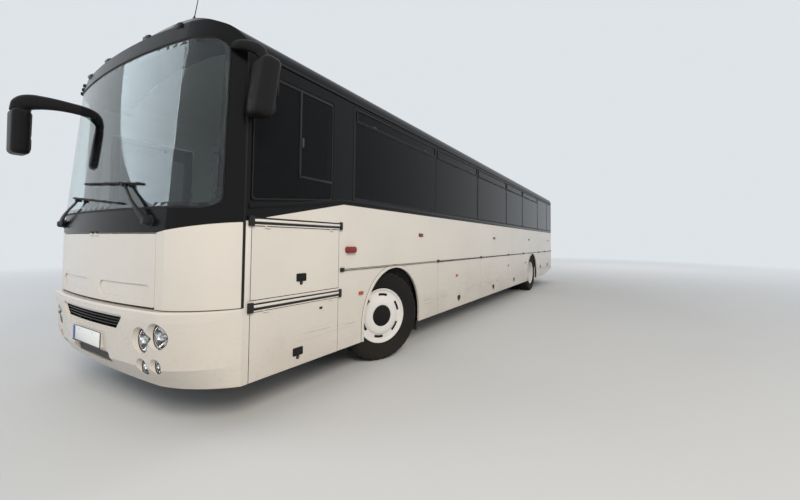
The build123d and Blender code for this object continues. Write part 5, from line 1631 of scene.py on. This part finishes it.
    def marker_lamps(self) -> None:
        """Small clear marker lamps along the brow."""
        lenses, bases = Sheet(), Sheet()
        for sign in (1, -1):
            for x, z in self.markers:
                spot = on_front(sign * x, z, 0.0)
                bases.slab(spot - Vector((0.047, 0.006, 0.017)), spot + Vector((0.047, 0.014, 0.017)), 0.005)
                lenses.slab(spot - Vector((0.040, 0.016, 0.012)), spot + Vector((0.040, 0.004, 0.012)), 0.005)
        lenses.piece("brow_marker_lenses", GLASS_LAMP)
        bases.piece("brow_marker_bases", TRIM_BLACK)

    def build(self) -> None:
        """Make the front's pieces."""
        self.seams()
        self.marker_lamps()
        self.intake_mesh()
        self.plate()
        self.lights()


@dataclass
class Wiper:
    """One screen wiper: capped pivot, tapered arm, hinge and a sprung blade."""

    pivot: Spot
    tip: Spot
    blade: tuple[Spot, Spot]

    def along(self, start: Spot, end: Spot, count: int, out: Callable[[float], float]) -> list[Vector]:
        """Points laid over the front between two places of its view.

        Args:
            start: x and z of the first.
            end: x and z of the last.
            count: steps between them.
            out: distance ahead of the front at a share.

        Returns:
            The points.
        """
        path = []
        for step in range(count + 1):
            share = step / count
            x, z = (a + (b - a) * share for a, b in zip(start, end))
            path.append(on_front(x, z, out(share)))
        return path

    def build(self, arms: Sheet, blades: Sheet, caps: Sheet) -> None:
        """Add the wiper to the sheets of arms, blades and caps.

        Args:
            arms: takes the arm.
            blades: takes the blade.
            caps: takes the pivot and the hinge.
        """
        spine = self.along(
            self.pivot, self.tip, 12, lambda share: 0.030 + 0.012 * math.sin(math.pi * min(1, share * 1.2))
        )
        rings = []
        up = (spine[-1] - spine[0]).normalized()
        across = up.cross(Vector((0, -1, 0))).normalized()
        ahead = across.cross(up)
        for index, point in enumerate(spine):
            share = index / (len(spine) - 1)
            wide = 0.026 - 0.016 * smooth_step(share * 1.6)
            high = 0.013 - 0.006 * smooth_step(share * 1.4)
            section = rounded(2 * wide, 2 * high, min(wide, high) * 0.7, 4)
            rings.append([point + across * a + ahead * b for a, b in section])
        arms.loft(rings)
        foot = on_front(*self.pivot)
        cap = ((-0.010, 0.034), (0.022, 0.031), (0.046, 0.028), (0.053, 0.022), (0.055, 0.0))
        caps.lathe(cap, foot, (0, -1, 0), 32)
        caps.lathe(((-0.010, 0.044), (0.004, 0.043), (0.007, 0.034)), foot, (0, -1, 0), 32)
        hinge = on_front(*self.tip)
        pin = ((0.006, 0.0), (0.006, 0.015), (0.045, 0.015), (0.048, 0.012), (0.048, 0.0))
        caps.lathe(pin, hinge, (0, -1, 0), 24)
        frame_path = self.along(*self.blade, 20, lambda share: 0.017 + 0.012 * math.sin(math.pi * share))
        rubber_path = self.along(*self.blade, 20, lambda share: 0.006)
        blades.sweep(frame_path, rounded(0.010, 0.016, 0.003, 3), up=(0, -1, 0))
        blades.sweep(rubber_path, rounded(0.014, 0.006, 0.002, 3), up=(0, -1, 0))
        for share in (0.03, 0.26, 0.5, 0.74, 0.97):
            spot = rubber_path[0].lerp(rubber_path[-1], share)
            x, z = spot.x, spot.z
            low, high = on_front(x, z, 0.003), on_front(x, z, 0.032 if 0.2 < share < 0.8 else 0.022)
            blades.slab((x - 0.011, high.y, z - 0.009), (x + 0.011, low.y, z + 0.009), 0.003, 2)


def build_wipers() -> None:
    """Both wipers, which replace the frame's plain ones."""
    arms, blades, caps = Sheet(), Sheet(), Sheet()
    for wiper in (
        Wiper((0.775, 1.466), (0.448, 1.740), ((-0.321, 1.802), (0.621, 1.740))),
        Wiper((-0.940, 1.475), (-0.400, 1.668), ((-0.603, 1.700), (0.398, 1.605))),
    ):
        wiper.build(arms, blades, caps)
    made = arms.piece("wiper_arms", TRIM_BLACK)
    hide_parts("wipers")
    blades.piece("wiper_blades", SEAL)
    caps.piece("wiper_pivots", TRIM_BLACK)


@dataclass
class Mirror:
    """One hanging mirror: sculpted swan-neck arm, housing and two glasses."""

    side: Side
    stops: tuple[Place, ...]
    head: Place
    width: float
    depth: float
    height: float
    lean: Spot = (0.0, 0.0)
    thick: Spot = (0.040, 0.055)

    def point(self, place: Point) -> Vector:
        """A table place on this mirror's side."""
        return Vector((self.side.value * place[0], behind(place[1]), place[2]))

    def centre(self, share: float, back: float, z: float) -> Vector:
        """Middle of the leaning housing at a share of its height."""
        off = share - 0.5
        return self.point((self.head[0] + self.lean[0] * off, back + self.lean[1] * off, z))

    def arm(self, sheet: Sheet) -> None:
        """Arm as a tapered blade from the header to the housing.

        Args:
            sheet: takes the arm.
        """
        top = self.centre(0.9, self.head[1], self.head[2] + self.height / 2 - 0.02)
        path = bent_path([self.point(stop) for stop in self.stops] + [top], 0.13, 8)
        rings = []
        last = len(path) - 1
        for index, point in enumerate(path):
            share = index / last
            ahead = (path[min(index + 1, last)] - path[max(index - 1, 0)]).normalized()
            side = ahead.cross(Vector((0, 0, 1) if abs(ahead.z) < 0.8 else (0, 1, 0)))
            side.normalize()
            rise = side.cross(ahead).normalized()
            grow = 0.75 + 0.35 * smooth_step(share * 1.3)
            rings.append([point + side * a * grow + rise * b * grow for a, b in ellipse(*self.thick)])
        for first, second in zip(rings, rings[1:]):
            count = len(first)
            ways = [
                sum((first[k] - second[(k + shift) % count]).length for k in range(0, count, 5))
                for shift in range(count)
            ]
            turn = ways.index(min(ways))
            second[:] = second[turn:] + second[:turn]
        sheet.loft(rings)

    def housing(self, sheet: Sheet) -> None:
        """Housing with rounded ends that narrows a little downwards.

        Args:
            sheet: takes the housing.
        """
        edge = 0.042
        rings = []
        for step in range(25):
            share = 0.5 - 0.5 * math.cos(math.pi * step / 24)
            near = min(share, 1 - share) * self.height
            inset = edge - math.sqrt(max(0.0, edge * edge - (edge - near) ** 2)) if near < edge else 0.0
            taper = 1 - 0.10 * (1 - share)
            radius = max(0.004, 0.052 - inset)
            section = rounded(self.width * taper - 2 * inset, self.depth - 2 * inset, radius, 7)
            z = self.head[2] - self.height / 2 + share * self.height
            middle = self.centre(share, self.head[1], z)
            rings.append([middle + Vector((a, b, 0)) for a, b in section])
        sheet.loft(rings)

    def glasses(self, faces: Sheet, rims: Sheet) -> None:
        """Main glass and a wide-angle one below it, in dark rims on the rear side.

        Args:
            faces: takes the glasses.
            rims: takes their rims.
        """
        back = self.head[1] + self.depth / 2
        for low, high in ((0.10, 0.36), (0.40, 0.93)):
            z = self.head[2] - self.height / 2 + (low + high) / 2 * self.height
            size = (self.width * 0.66, (high - low) * self.height)
            middle = self.centre((low + high) / 2, back - 0.004, z)
            rings = []
            for shrink, out in ((0.0, -0.006), (0.0, 0.004), (0.008, 0.004), (0.010, 0.0005)):
                section = rounded(size[0] - 2 * shrink, size[1] - 2 * shrink, 0.02, 5)
                rings.append([middle + Vector((a, out, b)) for a, b in section])
            rims.loft(rings, capped=False)
            rings = []
            for shrink in (0.008, 0.03, 0.055, 0.075):
                section = rounded(size[0] - 2 * shrink, max(0.01, size[1] - 2 * shrink), 0.012, 5)
                rings.append([middle + Vector((a, 0.0012 + 0.02 * shrink, b)) for a, b in section])
            faces.loft(rings, capped=False)
            faces.bm.faces.new(list(faces.bm.verts)[-20:])


def build_mirrors() -> None:
    """Both mirrors, which replace the frame's plain ones."""
    arms, cases, faces, rims = Sheet(), Sheet(), Sheet(), Sheet()
    for mirror in (
        Mirror(
            Side.LEFT,
            ((1.120, -0.050, 2.715), (1.270, -0.110, 2.715), (1.385, 0.000, 2.700)),
            (1.405, 0.030, 2.419),
            0.196, 0.152, 0.424, lean=(0.026, 0.036), thick=(0.030, 0.038),
        ),
        Mirror(
            Side.RIGHT,
            ((1.090, -0.110, 2.630), (1.205, -0.400, 2.665), (1.325, -0.610, 2.650)),
            (1.320, -0.620, 2.345),
            0.226, 0.140, 0.430, lean=(0.020, 0.0), thick=(0.052, 0.068),
        ),
    ):
        mirror.arm(arms)
        mirror.housing(cases)
        mirror.glasses(faces, rims)
    knobs = Sheet()
    for x, z in ((-1.035, 2.875), (-1.045, 2.835), (-1.055, 2.795)):
        form = ((-0.02, 0.020), (0.020, 0.020), (0.032, 0.015), (0.036, 0.0))
        knobs.lathe(form, on_front(x, z), (-0.5, -0.85, 0.1), 20)
    made = cases.piece("mirror_housings", MIRROR_CASE, sharp=60)
    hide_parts("mirrors")
    arms.piece("mirror_arms", MIRROR_CASE, sharp=60)
    faces.piece("mirror_glasses", MIRROR_FACE)
    rims.piece("mirror_rims", TRIM_BLACK)
    knobs.piece("mirror_bracket_knobs", TRIM_BLACK)


@dataclass
class CabWindow:
    """Driver's window: rubber frame, slider bars and catch."""

    start: float = 0.040
    end: float = 0.905
    low: Spot = (1.625, 1.700)
    high: float = 2.615
    divider: float = 0.500
    sill: float = 1.873

    def build(self) -> None:
        """Frame along the pane's outline, with the slider's bars."""
        trim = SideTrim(Side.LEFT)
        frames, bars, catch = Sheet(), Sheet(), Sheet()
        (low_start, low_end), high = self.low, self.high
        corners = ((self.start, low_start), (self.end, low_end), (self.end, high), (self.start, high))
        middle = (sum(c[0] for c in corners) / 4, sum(c[1] for c in corners) / 4)
        rings = []
        for shrink, out in ((-0.012, -0.001), (-0.010, 0.004), (0.020, 0.004), (0.024, -0.001)):
            ring = []
            for index, (back, z) in enumerate(corners):
                before, after = corners[index - 1], corners[(index + 1) % 4]
                shift = (math.copysign(shrink, back - middle[0]), math.copysign(shrink, z - middle[1]))
                corner = Vector((back - shift[0], z - shift[1]))
                start = corner + (Vector(before) - Vector((back, z))).normalized() * 0.035
                end = corner + (Vector(after) - Vector((back, z))).normalized() * 0.035
                for step in range(6):
                    share = step / 5
                    spot = start.lerp(corner, share).lerp(corner.lerp(end, share), share)
                    ring.append(trim.at(out, spot.x, spot.y))
            rings.append(ring)
        frames.loft(rings, capped=False)
        split, sill, last, top = self.divider, self.sill, self.end - 0.02, self.high - 0.02
        trim.bar(bars, (split - 0.011, split + 0.011), (sill, top), (-0.001, 0.007), 0.002)
        trim.bar(bars, (split - 0.011, last), (sill - 0.011, sill + 0.011), (-0.001, 0.007), 0.002)
        trim.bar(bars, (self.start + 0.02, last), (self.high - 0.035, top), (-0.001, 0.006), 0.002)
        trim.bar(catch, (split + 0.014, split + 0.034), (2.12, 2.20), (0.001, 0.014), 0.004)
        frames.piece("cab_window_rubber", SEAL)
        bars.piece("cab_window_bars", TRIM_BLACK)
        catch.piece("cab_window_catch", DARK_PLASTIC)


# Doors
@dataclass
class DoorDress:
    """Rubber edges, glass frame, pull and lock of one door leaf."""

    body: str
    start: float
    end: float
    low: float = 0.350
    high: float = 2.480
    glass: Spot = (1.150, 2.390)
    border: float = 0.075

    def build(self) -> None:
        """Make the leaf's pieces."""
        trim = SideTrim(Side.RIGHT)
        rubber, pull, lock = Sheet(), Sheet(), Sheet()
        ends = (self.start + self.border - 0.018, self.end - self.border + 0.018)
        heights = (self.glass[0] - 0.018, self.glass[1] + 0.018)
        trim.frame_ring(rubber, ends, heights, 0.030, (-0.001, 0.004), 0.06)
        for place in (self.start + 0.004, self.end - 0.018):
            heights = (self.low + 0.01, self.high - 0.01)
            trim.bar(rubber, (place, place + 0.014), heights, (-0.030, 0.003), 0.003)
        ends, heights = (self.start + 0.02, self.end - 0.02), (self.low + 0.002, self.low + 0.022)
        trim.bar(rubber, ends, heights, (-0.030, 0.003), 0.003)
        ends = (self.end - 0.30, self.end - 0.14)
        trim.frame_ring(pull, ends, (0.985, 1.045), 0.010, (-0.001, 0.006), 0.015)
        trim.bar(pull, (self.end - 0.288, self.end - 0.152), (0.997, 1.033), (-0.006, 0.001), 0.002)
        barrel = ((0.0, 0.0), (0.007, 0.0), (0.007, 0.010), (0.004, 0.013), (-0.001, 0.013))
        lock.lathe(barrel, trim.at(0, self.end - 0.11, 1.015), (-1, 0, 0), 20)
        rubber.piece(f"{self.body}_rubber", SEAL, self.body)
        pull.piece(f"{self.body}_pull", DARK_PLASTIC, self.body)
        lock.piece(f"{self.body}_lock", BARE_METAL, self.body)


# Rear
@dataclass
class RearEnd:
    """Tail lamps, window rubber, lid locks and the exhaust."""

    lamp_x: float = 1.080
    lamp_z: float = 1.180
    window: tuple[float, float, float, float] = (1.010, 1.850, 2.620, 0.090)
    lens: Spot = (0.100, 0.090)
    lens_pitch: float = 0.1015

    def lamps(self) -> None:
        """Dark housings with four lenses each."""
        cases, red, amber, clear = Sheet(), Sheet(), Sheet(), Sheet()
        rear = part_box("lamps_rear")[1].y
        for sign in (1, -1):
            x = sign * self.lamp_x
            low, high = self.lamp_z - 0.210, self.lamp_z + 0.210
            cases.slab((x - 0.060, rear - 0.075, low), (x + 0.060, rear - 0.016, high), 0.016)
            for index, sheet in enumerate((red, amber, clear, red)):
                z = self.lamp_z + 0.152 - index * self.lens_pitch
                rings = []
                for shrink, out in ((0.0, -0.022), (0.0, -0.008), (0.006, -0.002), (0.018, 0.0)):
                    section = rounded(self.lens[0] - 2 * shrink, self.lens[1] - 2 * shrink, 0.02, 5)
                    rings.append([Vector((x + a, rear + out, z + b)) for a, b in section])
                sheet.loft(rings)
        made = cases.piece("tail_lamp_cases", DARK_PLASTIC)
        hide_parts("lamps_rear")
        red.piece("tail_lamp_red", LENS_RED)
        amber.piece("tail_lamp_amber", LENS_AMBER)
        clear.piece("tail_lamp_clear", GLASS_LAMP)

    def rubber(self) -> None:
        """Rubber round the rear window."""
        half, low, high, radius = self.window
        middle = (low + high) / 2
        path = [(x, z + middle) for x, z in filled(rounded(2 * half, high - low, radius, 7), 0.08)]
        sheet = Sheet()
        rings = []
        for grow, out in ((1.014, 0.0), (1.012, 0.006), (0.990, 0.006), (0.982, -0.002)):
            ring = []
            for x, z in path:
                spot = None
                for node in ("rear_wall", "rear_window"):
                    height = middle + (z - middle) * (1 + (grow - 1) * 2)
                    hit = on_node(node, x * grow, height, -1, out)
                    if hit and (spot is None or hit.y > spot.y):
                        spot = hit
                ring.append(spot)
            rings.append(ring)
        if all(spot for ring in rings for spot in ring):
            sheet.loft(rings, capped=False)
            sheet.piece("rear_window_rubber", SEAL)

    def locks(self) -> None:
        """Two paddle locks at the engine lid's foot."""
        sheet = Sheet()
        for x in (-0.52, 0.52):
            spot = on_node("engine_lid", x, 0.985, -1)
            if spot:
                sheet.slab(spot - Vector((0.045, 0.004, 0.030)), spot + Vector((0.045, 0.005, 0.030)), 0.004)
                sheet.slab(spot - Vector((0.034, 0.0, 0.006)), spot + Vector((0.034, 0.010, 0.020)), 0.003)
        sheet.piece("engine_lid_locks", TRIM_BLACK, Body.ENGINE_LID.value)

    def exhaust(self) -> None:
        """Exhaust pipe under the floor, turned down behind the rear axle."""
        sheet = Sheet()
        stops = ((10.9, 0.60), (11.9, 0.52), (12.15, 0.44), (12.20, 0.36))
        path = bent_path([behind_point(-0.62, back, z) for back, z in stops], 0.12, 6)
        sheet.sweep(path, circle(0.052, 24), up=(1, 0, 0), capped=False)
        sheet.sweep(path[::-1], circle(0.048, 24), up=(1, 0, 0), capped=False)
        sheet.piece("exhaust_pipe", CASTING)

    def build(self) -> None:
        """Make the rear's pieces."""
        self.lamps()
        self.rubber()
        self.locks()
        self.exhaust()


# Roof
@dataclass
class RoofDress:
    """Ribbed hatch lids and the whip aerial."""

    places: tuple[float, ...] = (3.300, 8.900)
    size: Spot = (0.760, 0.700)
    crown: float = 3.070
    foot: Place = (0.880, -0.190, 2.945)
    top: Place = (0.920, -0.140, 3.390)

    def build(self) -> None:
        """Make the hatches and the aerial."""
        lids, skirts, whip = Sheet(), Sheet(), Sheet()
        for place in self.places:
            middle = behind_point(0, place, self.crown)
            rings = []
            for shrink, rise in ((0.0, -0.014), (0.0, 0.026), (0.008, 0.036), (0.030, 0.041), (0.10, 0.044)):
                section = rounded(self.size[0] - 2 * shrink, self.size[1] - 2 * shrink, 0.07, 6)
                rings.append([middle + Vector((a, b, rise)) for a, b in section])
            lids.loft(rings)
            for step in range(-2, 3):
                x = step * 0.115
                low, high = Vector((x - 0.016, -0.24, 0.038)), Vector((x + 0.016, 0.24, 0.0495))
                lids.slab(middle + low, middle + high, 0.005)
            rings = []
            for grow, rise in ((0.0, -0.03), (0.028, -0.03), (0.026, -0.004), (0.004, -0.002)):
                section = rounded(self.size[0] + 2 * grow, self.size[1] + 2 * grow, 0.08, 6)
                rings.append([middle + Vector((a, b, rise)) for a, b in section])
            skirts.loft(rings, capped=False)
        foot, top = behind_point(*self.foot), behind_point(*self.top)
        axis = top - foot
        length = axis.length
        form = [
            (-0.02, 0.020), (0.004, 0.020), (0.010, 0.014), (0.030, 0.010), (0.045, 0.005), (0.05, 0.0032)
        ]
        form += [(length * 0.6, 0.0024), (length - 0.004, 0.0016), (length, 0.0)]
        whip.lathe(form, foot, axis, 16)
        made = lids.piece("roof_hatch_lids", ROOF_PLASTIC)
        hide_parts("roof_fittings")
        skirts.piece("roof_hatch_rubber", SEAL)
        whip.piece("aerial_whip", TRIM_BLACK)


# Seats
Sheets = tuple[Sheet, Sheet, Sheet]
Meshes = tuple[bpy.types.Mesh, bpy.types.Mesh]


@dataclass
class Pad:
    """One padded form: a block with rounded edges that is blown up as cloth."""

    name: str
    corners: tuple[Spot, ...]
    width: float
    swell: float = 0.016
    voxel: float = 0.007

    def block(self) -> bpy.types.Object:
        """Starting block: the side outline pushed across, with rounded edges.

        Returns:
            The block's object.
        """
        half = self.width / 2
        sheet = Sheet()
        sheet.loft([[Vector((x, y, z)) for y, z in self.corners] for x in (-half, half)])
        edges = list(sheet.bm.edges)
        bmesh.ops.bevel(sheet.bm, geom=edges, offset=0.022, segments=3, affect="EDGES", profile=0.6)
        bmesh.ops.recalc_face_normals(sheet.bm, faces=sheet.bm.faces)
        mesh = bpy.data.meshes.new(self.name)
        sheet.bm.to_mesh(mesh)
        sheet.bm.free()
        return placed(self.name, mesh)

    def mesh(self, keep: float = 0.09) -> bpy.types.Mesh:
        """The padded form's mesh, swollen as cloth.

        Args:
            keep: share of the faces that stay after the simulation.

        Returns:
            The mesh about its own origin.
        """
        made = self.block()
        remesh = made.modifiers.new("remesh", "REMESH")
        remesh.mode, remesh.voxel_size = "VOXEL", self.voxel
        view = bpy.context.view_layer
        view.objects.active = made
        bpy.ops.object.modifier_apply(modifier=remesh.name)
        before = [vert.co.copy() for vert in made.data.vertices]
        cloth = made.modifiers.new("cloth", "CLOTH")
        cloth.settings.use_pressure = True
        cloth.settings.uniform_pressure_force = 4.0
        cloth.settings.effector_weights.gravity = 0.0
        scene = bpy.context.scene
        for step in range(1, 21):
            scene.frame_set(step)
        shaped = made.evaluated_get(bpy.context.evaluated_depsgraph_get())
        after = [vert.co.copy() for vert in shaped.data.vertices]
        made.modifiers.remove(cloth)
        scene.frame_set(1)
        for vert, start, end in zip(made.data.vertices, before, after):
            moved = end - start
            vert.co = start + (moved if moved.length < self.swell else moved.normalized() * self.swell)
        thin = made.modifiers.new("thin", "DECIMATE")
        thin.ratio = keep
        bpy.ops.object.modifier_apply(modifier=thin.name)
        mesh = made.data
        bpy.data.objects.remove(made)
        for polygon in mesh.polygons:
            polygon.use_smooth = True
        return mesh


@dataclass
class Seating:
    """All seats from one cushion and one back, with frames, shells and piping."""

    pitch: float = 0.755
    first: float = 1.720
    rows: int = 12
    door_gap: Spot = (6.210, 8.010)
    floor: float = 1.070
    places: tuple[float, ...] = (0.500, 0.955)
    bench_places: tuple[float, ...] = (-0.94, -0.47, 0.0, 0.47, 0.94)
    bench: float = 11.420
    driver: Place = (0.710, 0.640, 0.950)

    def pads(self) -> Meshes:
        """The cushion and the back."""
        cushion = ((-0.004, 0.325), (-0.004, 0.412), (0.375, 0.388), (0.430, 0.335))
        back = ((0.405, 0.395), (0.572, 1.058), (0.625, 1.050), (0.478, 0.370))
        return Pad("cushion_form", cushion, 0.405).mesh(), Pad("back_form", back, 0.395, 0.013).mesh()

    def add_pads(self, sheet: Sheet, pads: Meshes, spot: Vector, width: float = 1.0) -> None:
        """Copy the pads to one seat.

        Args:
            sheet: takes the copies.
            pads: cushion and back.
            spot: foot of the seat.
            width: stretch across.
        """
        for pad in pads:
            before = len(sheet.bm.verts)
            sheet.bm.from_mesh(pad)
            sheet.bm.verts.ensure_lookup_table()
            for vert in sheet.bm.verts[before:]:
                vert.co = Vector((vert.co.x * width, vert.co.y, vert.co.z)) + spot

    def add_frame(self, frames: Sheet, piping: Sheet, spot: Vector, half: float) -> None:
        """Pan, back shell, legs and piping of one seat.

        Args:
            frames: takes the pan, shell and legs.
            piping: takes the piping.
            spot: foot of the seat.
            half: half of its width.
        """
        x, y, z = spot
        frames.slab((x - half, y + 0.01, z + 0.285), (x + half, y + 0.45, z + 0.312), 0.008, 2)
        outline = ((0.500, 0.34), (0.655, 1.045), (0.640, 1.060), (0.628, 1.05), (0.478, 0.345))
        edges = (x - (half - 0.004), x + (half - 0.004))
        frames.loft([[Vector((edge, y + a, z + b)) for a, b in outline] for edge in edges])
        for a, b in ((0.09, 0.0), (0.34, 0.0)):
            frames.slab((x - 0.02, y + a, z + b), (x + 0.02, y + a + 0.035, z + 0.29), 0.006, 2)
        frames.slab((x - 0.03, y + 0.06, z), (x + 0.03, y + 0.40, z + 0.014), 0.004, 2)
        for outline in (((0.02, 0.424), (0.37, 0.402)), ((0.425, 0.44), (0.560, 1.035))):
            for side in (-1, 1):
                path = [Vector((x + side * (half - 0.045), y + a, z + b)) for a, b in outline]
                piping.sweep(path, circle(0.0035, 5), up=(1, 0, 0))

    def row(
        self, sheets: Sheets, pads: Meshes, places: Sequence[float], back: float
    ) -> None:
        """One row of seats.

        Args:
            sheets: take the pads, the frames and the piping.
            pads: cushion and back.
            places: X of each seat.
            back: distance behind the front corner seam.
        """
        pad_sheet, frames, piping = sheets
        for x in places:
            spot = behind_point(x, back, self.floor)
            self.add_pads(pad_sheet, pads, spot)
            self.add_frame(frames, piping, spot, 0.205)

    def armrests(self, frames: Sheet, side: int, back: float) -> None:
        """Armrest on the aisle side of a row.

        Args:
            frames: takes the armrest.
            side: sign of the side.
            back: distance behind the front corner seam.
        """
        x = side * 0.283
        spot = behind_point(x, back, self.floor)
        frames.slab(spot + Vector((-0.008, 0.30, 0.30)), spot + Vector((0.008, 0.34, 0.58)), 0.006, 2)
        frames.slab(spot + Vector((-0.008, 0.08, 0.565)), spot + Vector((0.008, 0.46, 0.60)), 0.007, 2)

    def build(self) -> None:
        """Make the passenger seats, the bench and the driver's seat."""
        pads = self.pads()
        for side in Side:
            sheets = (Sheet(), Sheet(), Sheet())
            for row in self.lines(side):
                self.row(sheets, pads, [side.value * x for x in self.places], row)
                self.armrests(sheets[1], side.value, row)
            self.finish(sheets, f"seats_{side.word}")
        bench = (Sheet(), Sheet(), Sheet())
        self.row(bench, pads, self.bench_places, self.bench)
        self.finish(bench, "seat_bench")
        cab = (Sheet(), Sheet(), Sheet())
        spot = behind_point(*self.driver)
        self.add_pads(cab[0], pads, spot, 1.12)
        self.add_frame(cab[1], cab[2], spot, 0.225)
        cab[1].slab(spot + Vector((-0.17, 0.07, 0.0)), spot + Vector((0.17, 0.37, 0.20)), 0.02)
        for side in (-1, 1):
            x = side * 0.228
            cab[1].slab(spot + Vector((x - 0.014, 0.16, 0.555)), spot + Vector((x + 0.014, 0.46, 0.59)), 0.01)
        self.finish(cab, "driver_seat")
        for pad in pads:
            bpy.data.meshes.remove(pad)

    def lines(self, side: Side) -> list[float]:
        """Places of the rows on one side, which leave the middle door free.

        Args:
            side: the side of the aisle.

        Returns:
            Distances behind the front corner seam.
        """
        places = [self.first + self.pitch * step for step in range(self.rows)]
        if side is Side.LEFT:
            return places
        low, high = self.door_gap
        return [place for place in places if not low < place < high]

    def finish(self, sheets: Sheets, node: str) -> None:
        """Turn the sheets into pieces that stand for the frame's seats.

        Args:
            sheets: pads, frames and piping.
            node: the seats' node.
        """
        made = sheets[0].piece(f"{node}_pads", SEAT_CLOTH, sharp=180)
        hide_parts(node)
        sheets[1].piece(f"{node}_frames", SEAT_BACKING)
        sheets[2].piece(f"{node}_piping", PIPING)


# Cab
@dataclass
class Cab:
    """Steering wheel and the instruments in front of it."""

    hub: Place = (0.700, 0.330, 1.640)
    foot: Place = (0.700, 0.150, 1.440)
    radius: float = 0.222

    def build(self) -> None:
        """Make the wheel's rim, spokes and hub, and the instrument hood."""
        hub, foot = behind_point(*self.hub), behind_point(*self.foot)
        axis = (hub - foot).normalized()
        across = Vector((1, 0, 0))
        rise = axis.cross(across).normalized()
        wheel = Sheet()
        rings = []
        for step in range(72):
            turn = 2 * math.pi * step / 72
            arm = across * math.cos(turn) + rise * math.sin(turn)
            rings.append([hub + arm * (self.radius - 0.012 + a) + axis * b for a, b in circle(0.0125, 12)])
        wheel.loft(rings, capped=False, loop=True)
        for turn in (math.radians(8), math.radians(172), math.radians(270)):
            arm = across * math.cos(turn) + rise * math.sin(turn)
            side = axis.cross(arm)
            rings = []
            spoke = ((0.03, 0.026, -0.022), (0.09, 0.018, -0.018), (0.16, 0.014, -0.006))
            for reach, wide, drop in (*spoke, (self.radius - 0.014, 0.013, 0.0)):
                section = rounded(2 * wide, 0.012, 0.004, 3)
                rings.append([hub + arm * reach + side * a + axis * (b + drop) for a, b in section])
            wheel.loft(rings)
        boss = (
            (-0.060, 0.024), (-0.040, 0.030), (-0.034, 0.052), (-0.012, 0.054), (-0.004, 0.044), (0.0, 0.0)
        )
        wheel.lathe(boss, hub, axis, 32)
        made = wheel.piece("steering_wheel_rim", DASH_PLASTIC, Body.STEERING.value)
        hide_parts("steering_wheel")
        hood, faces = Sheet(), Sheet()
        rings = []
        across_hood = (-0.26, -0.22, -0.15, 0, 0.15, 0.22, 0.26)
        arch = ((-0.08, 0.0), (-0.05, 0.045), (0.02, 0.065), (0.065, 0.060), (0.075, 0.045), (0.06, 0.0))
        for back, high in arch:
            ring = [behind_point(0.70 + x, back, 1.505 + high * (1 - (x / 0.27) ** 4)) for x in across_hood]
            rings.append(ring)
        hood.loft(rings, closed=False, capped=False)
        dial = ((0.0, 0.052), (0.006, 0.050), (0.004, 0.046), (0.002, 0.0))
        for x in (-0.12, 0.12):
            foot = behind_point(0.70 + x, 0.068, 1.527)
            faces.lathe(dial, foot, (0, 0.92, 0.38), 32)
        for step in range(6):
            low = behind_point(0.30 + step * 0.035, 0.03, 1.518)
            high = behind_point(0.325 + step * 0.035, 0.055, 1.528)
            faces.slab(low, high, 0.003, 2)
        hood.piece("instrument_hood", DASH_PLASTIC, thickness=0.005)
        faces.piece("instruments", TRIM_BLACK)


def coat_frame() -> None:
    """Finishes of the frame nodes that show as they are."""
    finishes = {
        PAINT_SIDE: ("side_left", "side_right"),
        PAINT_ROOF: ("roof",),
        ROOF_PLASTIC: ("roof_fittings",),
        PAINT_FRONT: ("front_mask", "door_front"),
        PAINT_PANEL: ("front_lid", "rear_wall", "engine_lid", "bumper_rear"),
        PAINT_BUMPER: ("bumper_front",),
        GLASS_LAMP: ("lamps_front",),
        GLASS_SCREEN: ("windscreen",),
        GLASS_SIDE: ("rear_window", "glass_left", "glass_right", "door_front_glass", "door_middle_glass"),
        LENS_RED: ("lamps_rear",),
        FLOOR_COVER: ("deck", "platform", "wheel_boxes"),
        STAIR_COVER: ("stairs",),
        BAY_LINING: ("luggage_bay",),
        FRAME_PAINT: ("chassis", "door_front_arms", "door_middle_arms"),
        CASTING: ("engine", "axle_front", "axle_rear", "knuckle_left", "knuckle_right"),
        SEAT_CLOTH: ("seats_left", "seats_right", "seat_bench", "driver_seat"),
        DASH_PLASTIC: ("dashboard", "steering_wheel"),
        RACK_PLASTIC: ("racks",),
        GLOSS_BLACK: ("mirrors",),
        TRIM_BLACK: ("wipers",),
        PAINT_FLAP: ("door_middle",),
    }
    for finish, nodes in finishes.items():
        for node in nodes:
            if not frame["nodes"][node].hide_render:
                coat_node(node, finish)


def main() -> None:
    """Build the looks of the coach in order."""
    logging.basicConfig(level=logging.INFO, format="%(message)s")
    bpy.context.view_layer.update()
    Studio().build()
    for side in Side:
        SideTrim(side).build()
        word = side.word
        Wheel(f"wheel_front_{word}", f"spin_front_{word}", side, (0.155,), True).build()
        Wheel(f"wheels_rear_{word}", f"spin_rear_{word}", side, (0.757, 1.085), False).build()
    for node, side, latch in (
        ("flap_driver_upper", Side.LEFT, (0.541, 1.038)),
        ("flap_bay_left_front", Side.LEFT, (3.883, 0.462)),
        ("flap_bay_left_middle", Side.LEFT, (5.649, 0.464)),
        ("flap_bay_left_rear", Side.LEFT, (7.214, 0.480)),
        ("flap_engine_left_front", Side.LEFT, (10.313, 0.630)),
        ("flap_engine_left_rear", Side.LEFT, (11.478, 0.635)),
        ("flap_bay_right_front", Side.RIGHT, (3.883, 0.462)),
        ("flap_bay_right_middle", Side.RIGHT, (5.649, 0.464)),
        ("flap_radiator", Side.RIGHT, (10.313, 0.630)),
    ):
        Flap(node, side, latch).build()
    Flap("flap_driver_lower", Side.LEFT, (0.518, 0.436), plug=(0.775, 0.752)).build()
    FrontEnd().build()
    build_wipers()
    build_mirrors()
    CabWindow().build()
    DoorDress("door_front", 0.085, 0.955).build()
    DoorDress("door_middle", 6.890, 7.960).build()
    RearEnd().build()
    RoofDress().build()
    Seating().build()
    Cab().build()
    coat_frame()


if __name__ == "__main__":
    main()
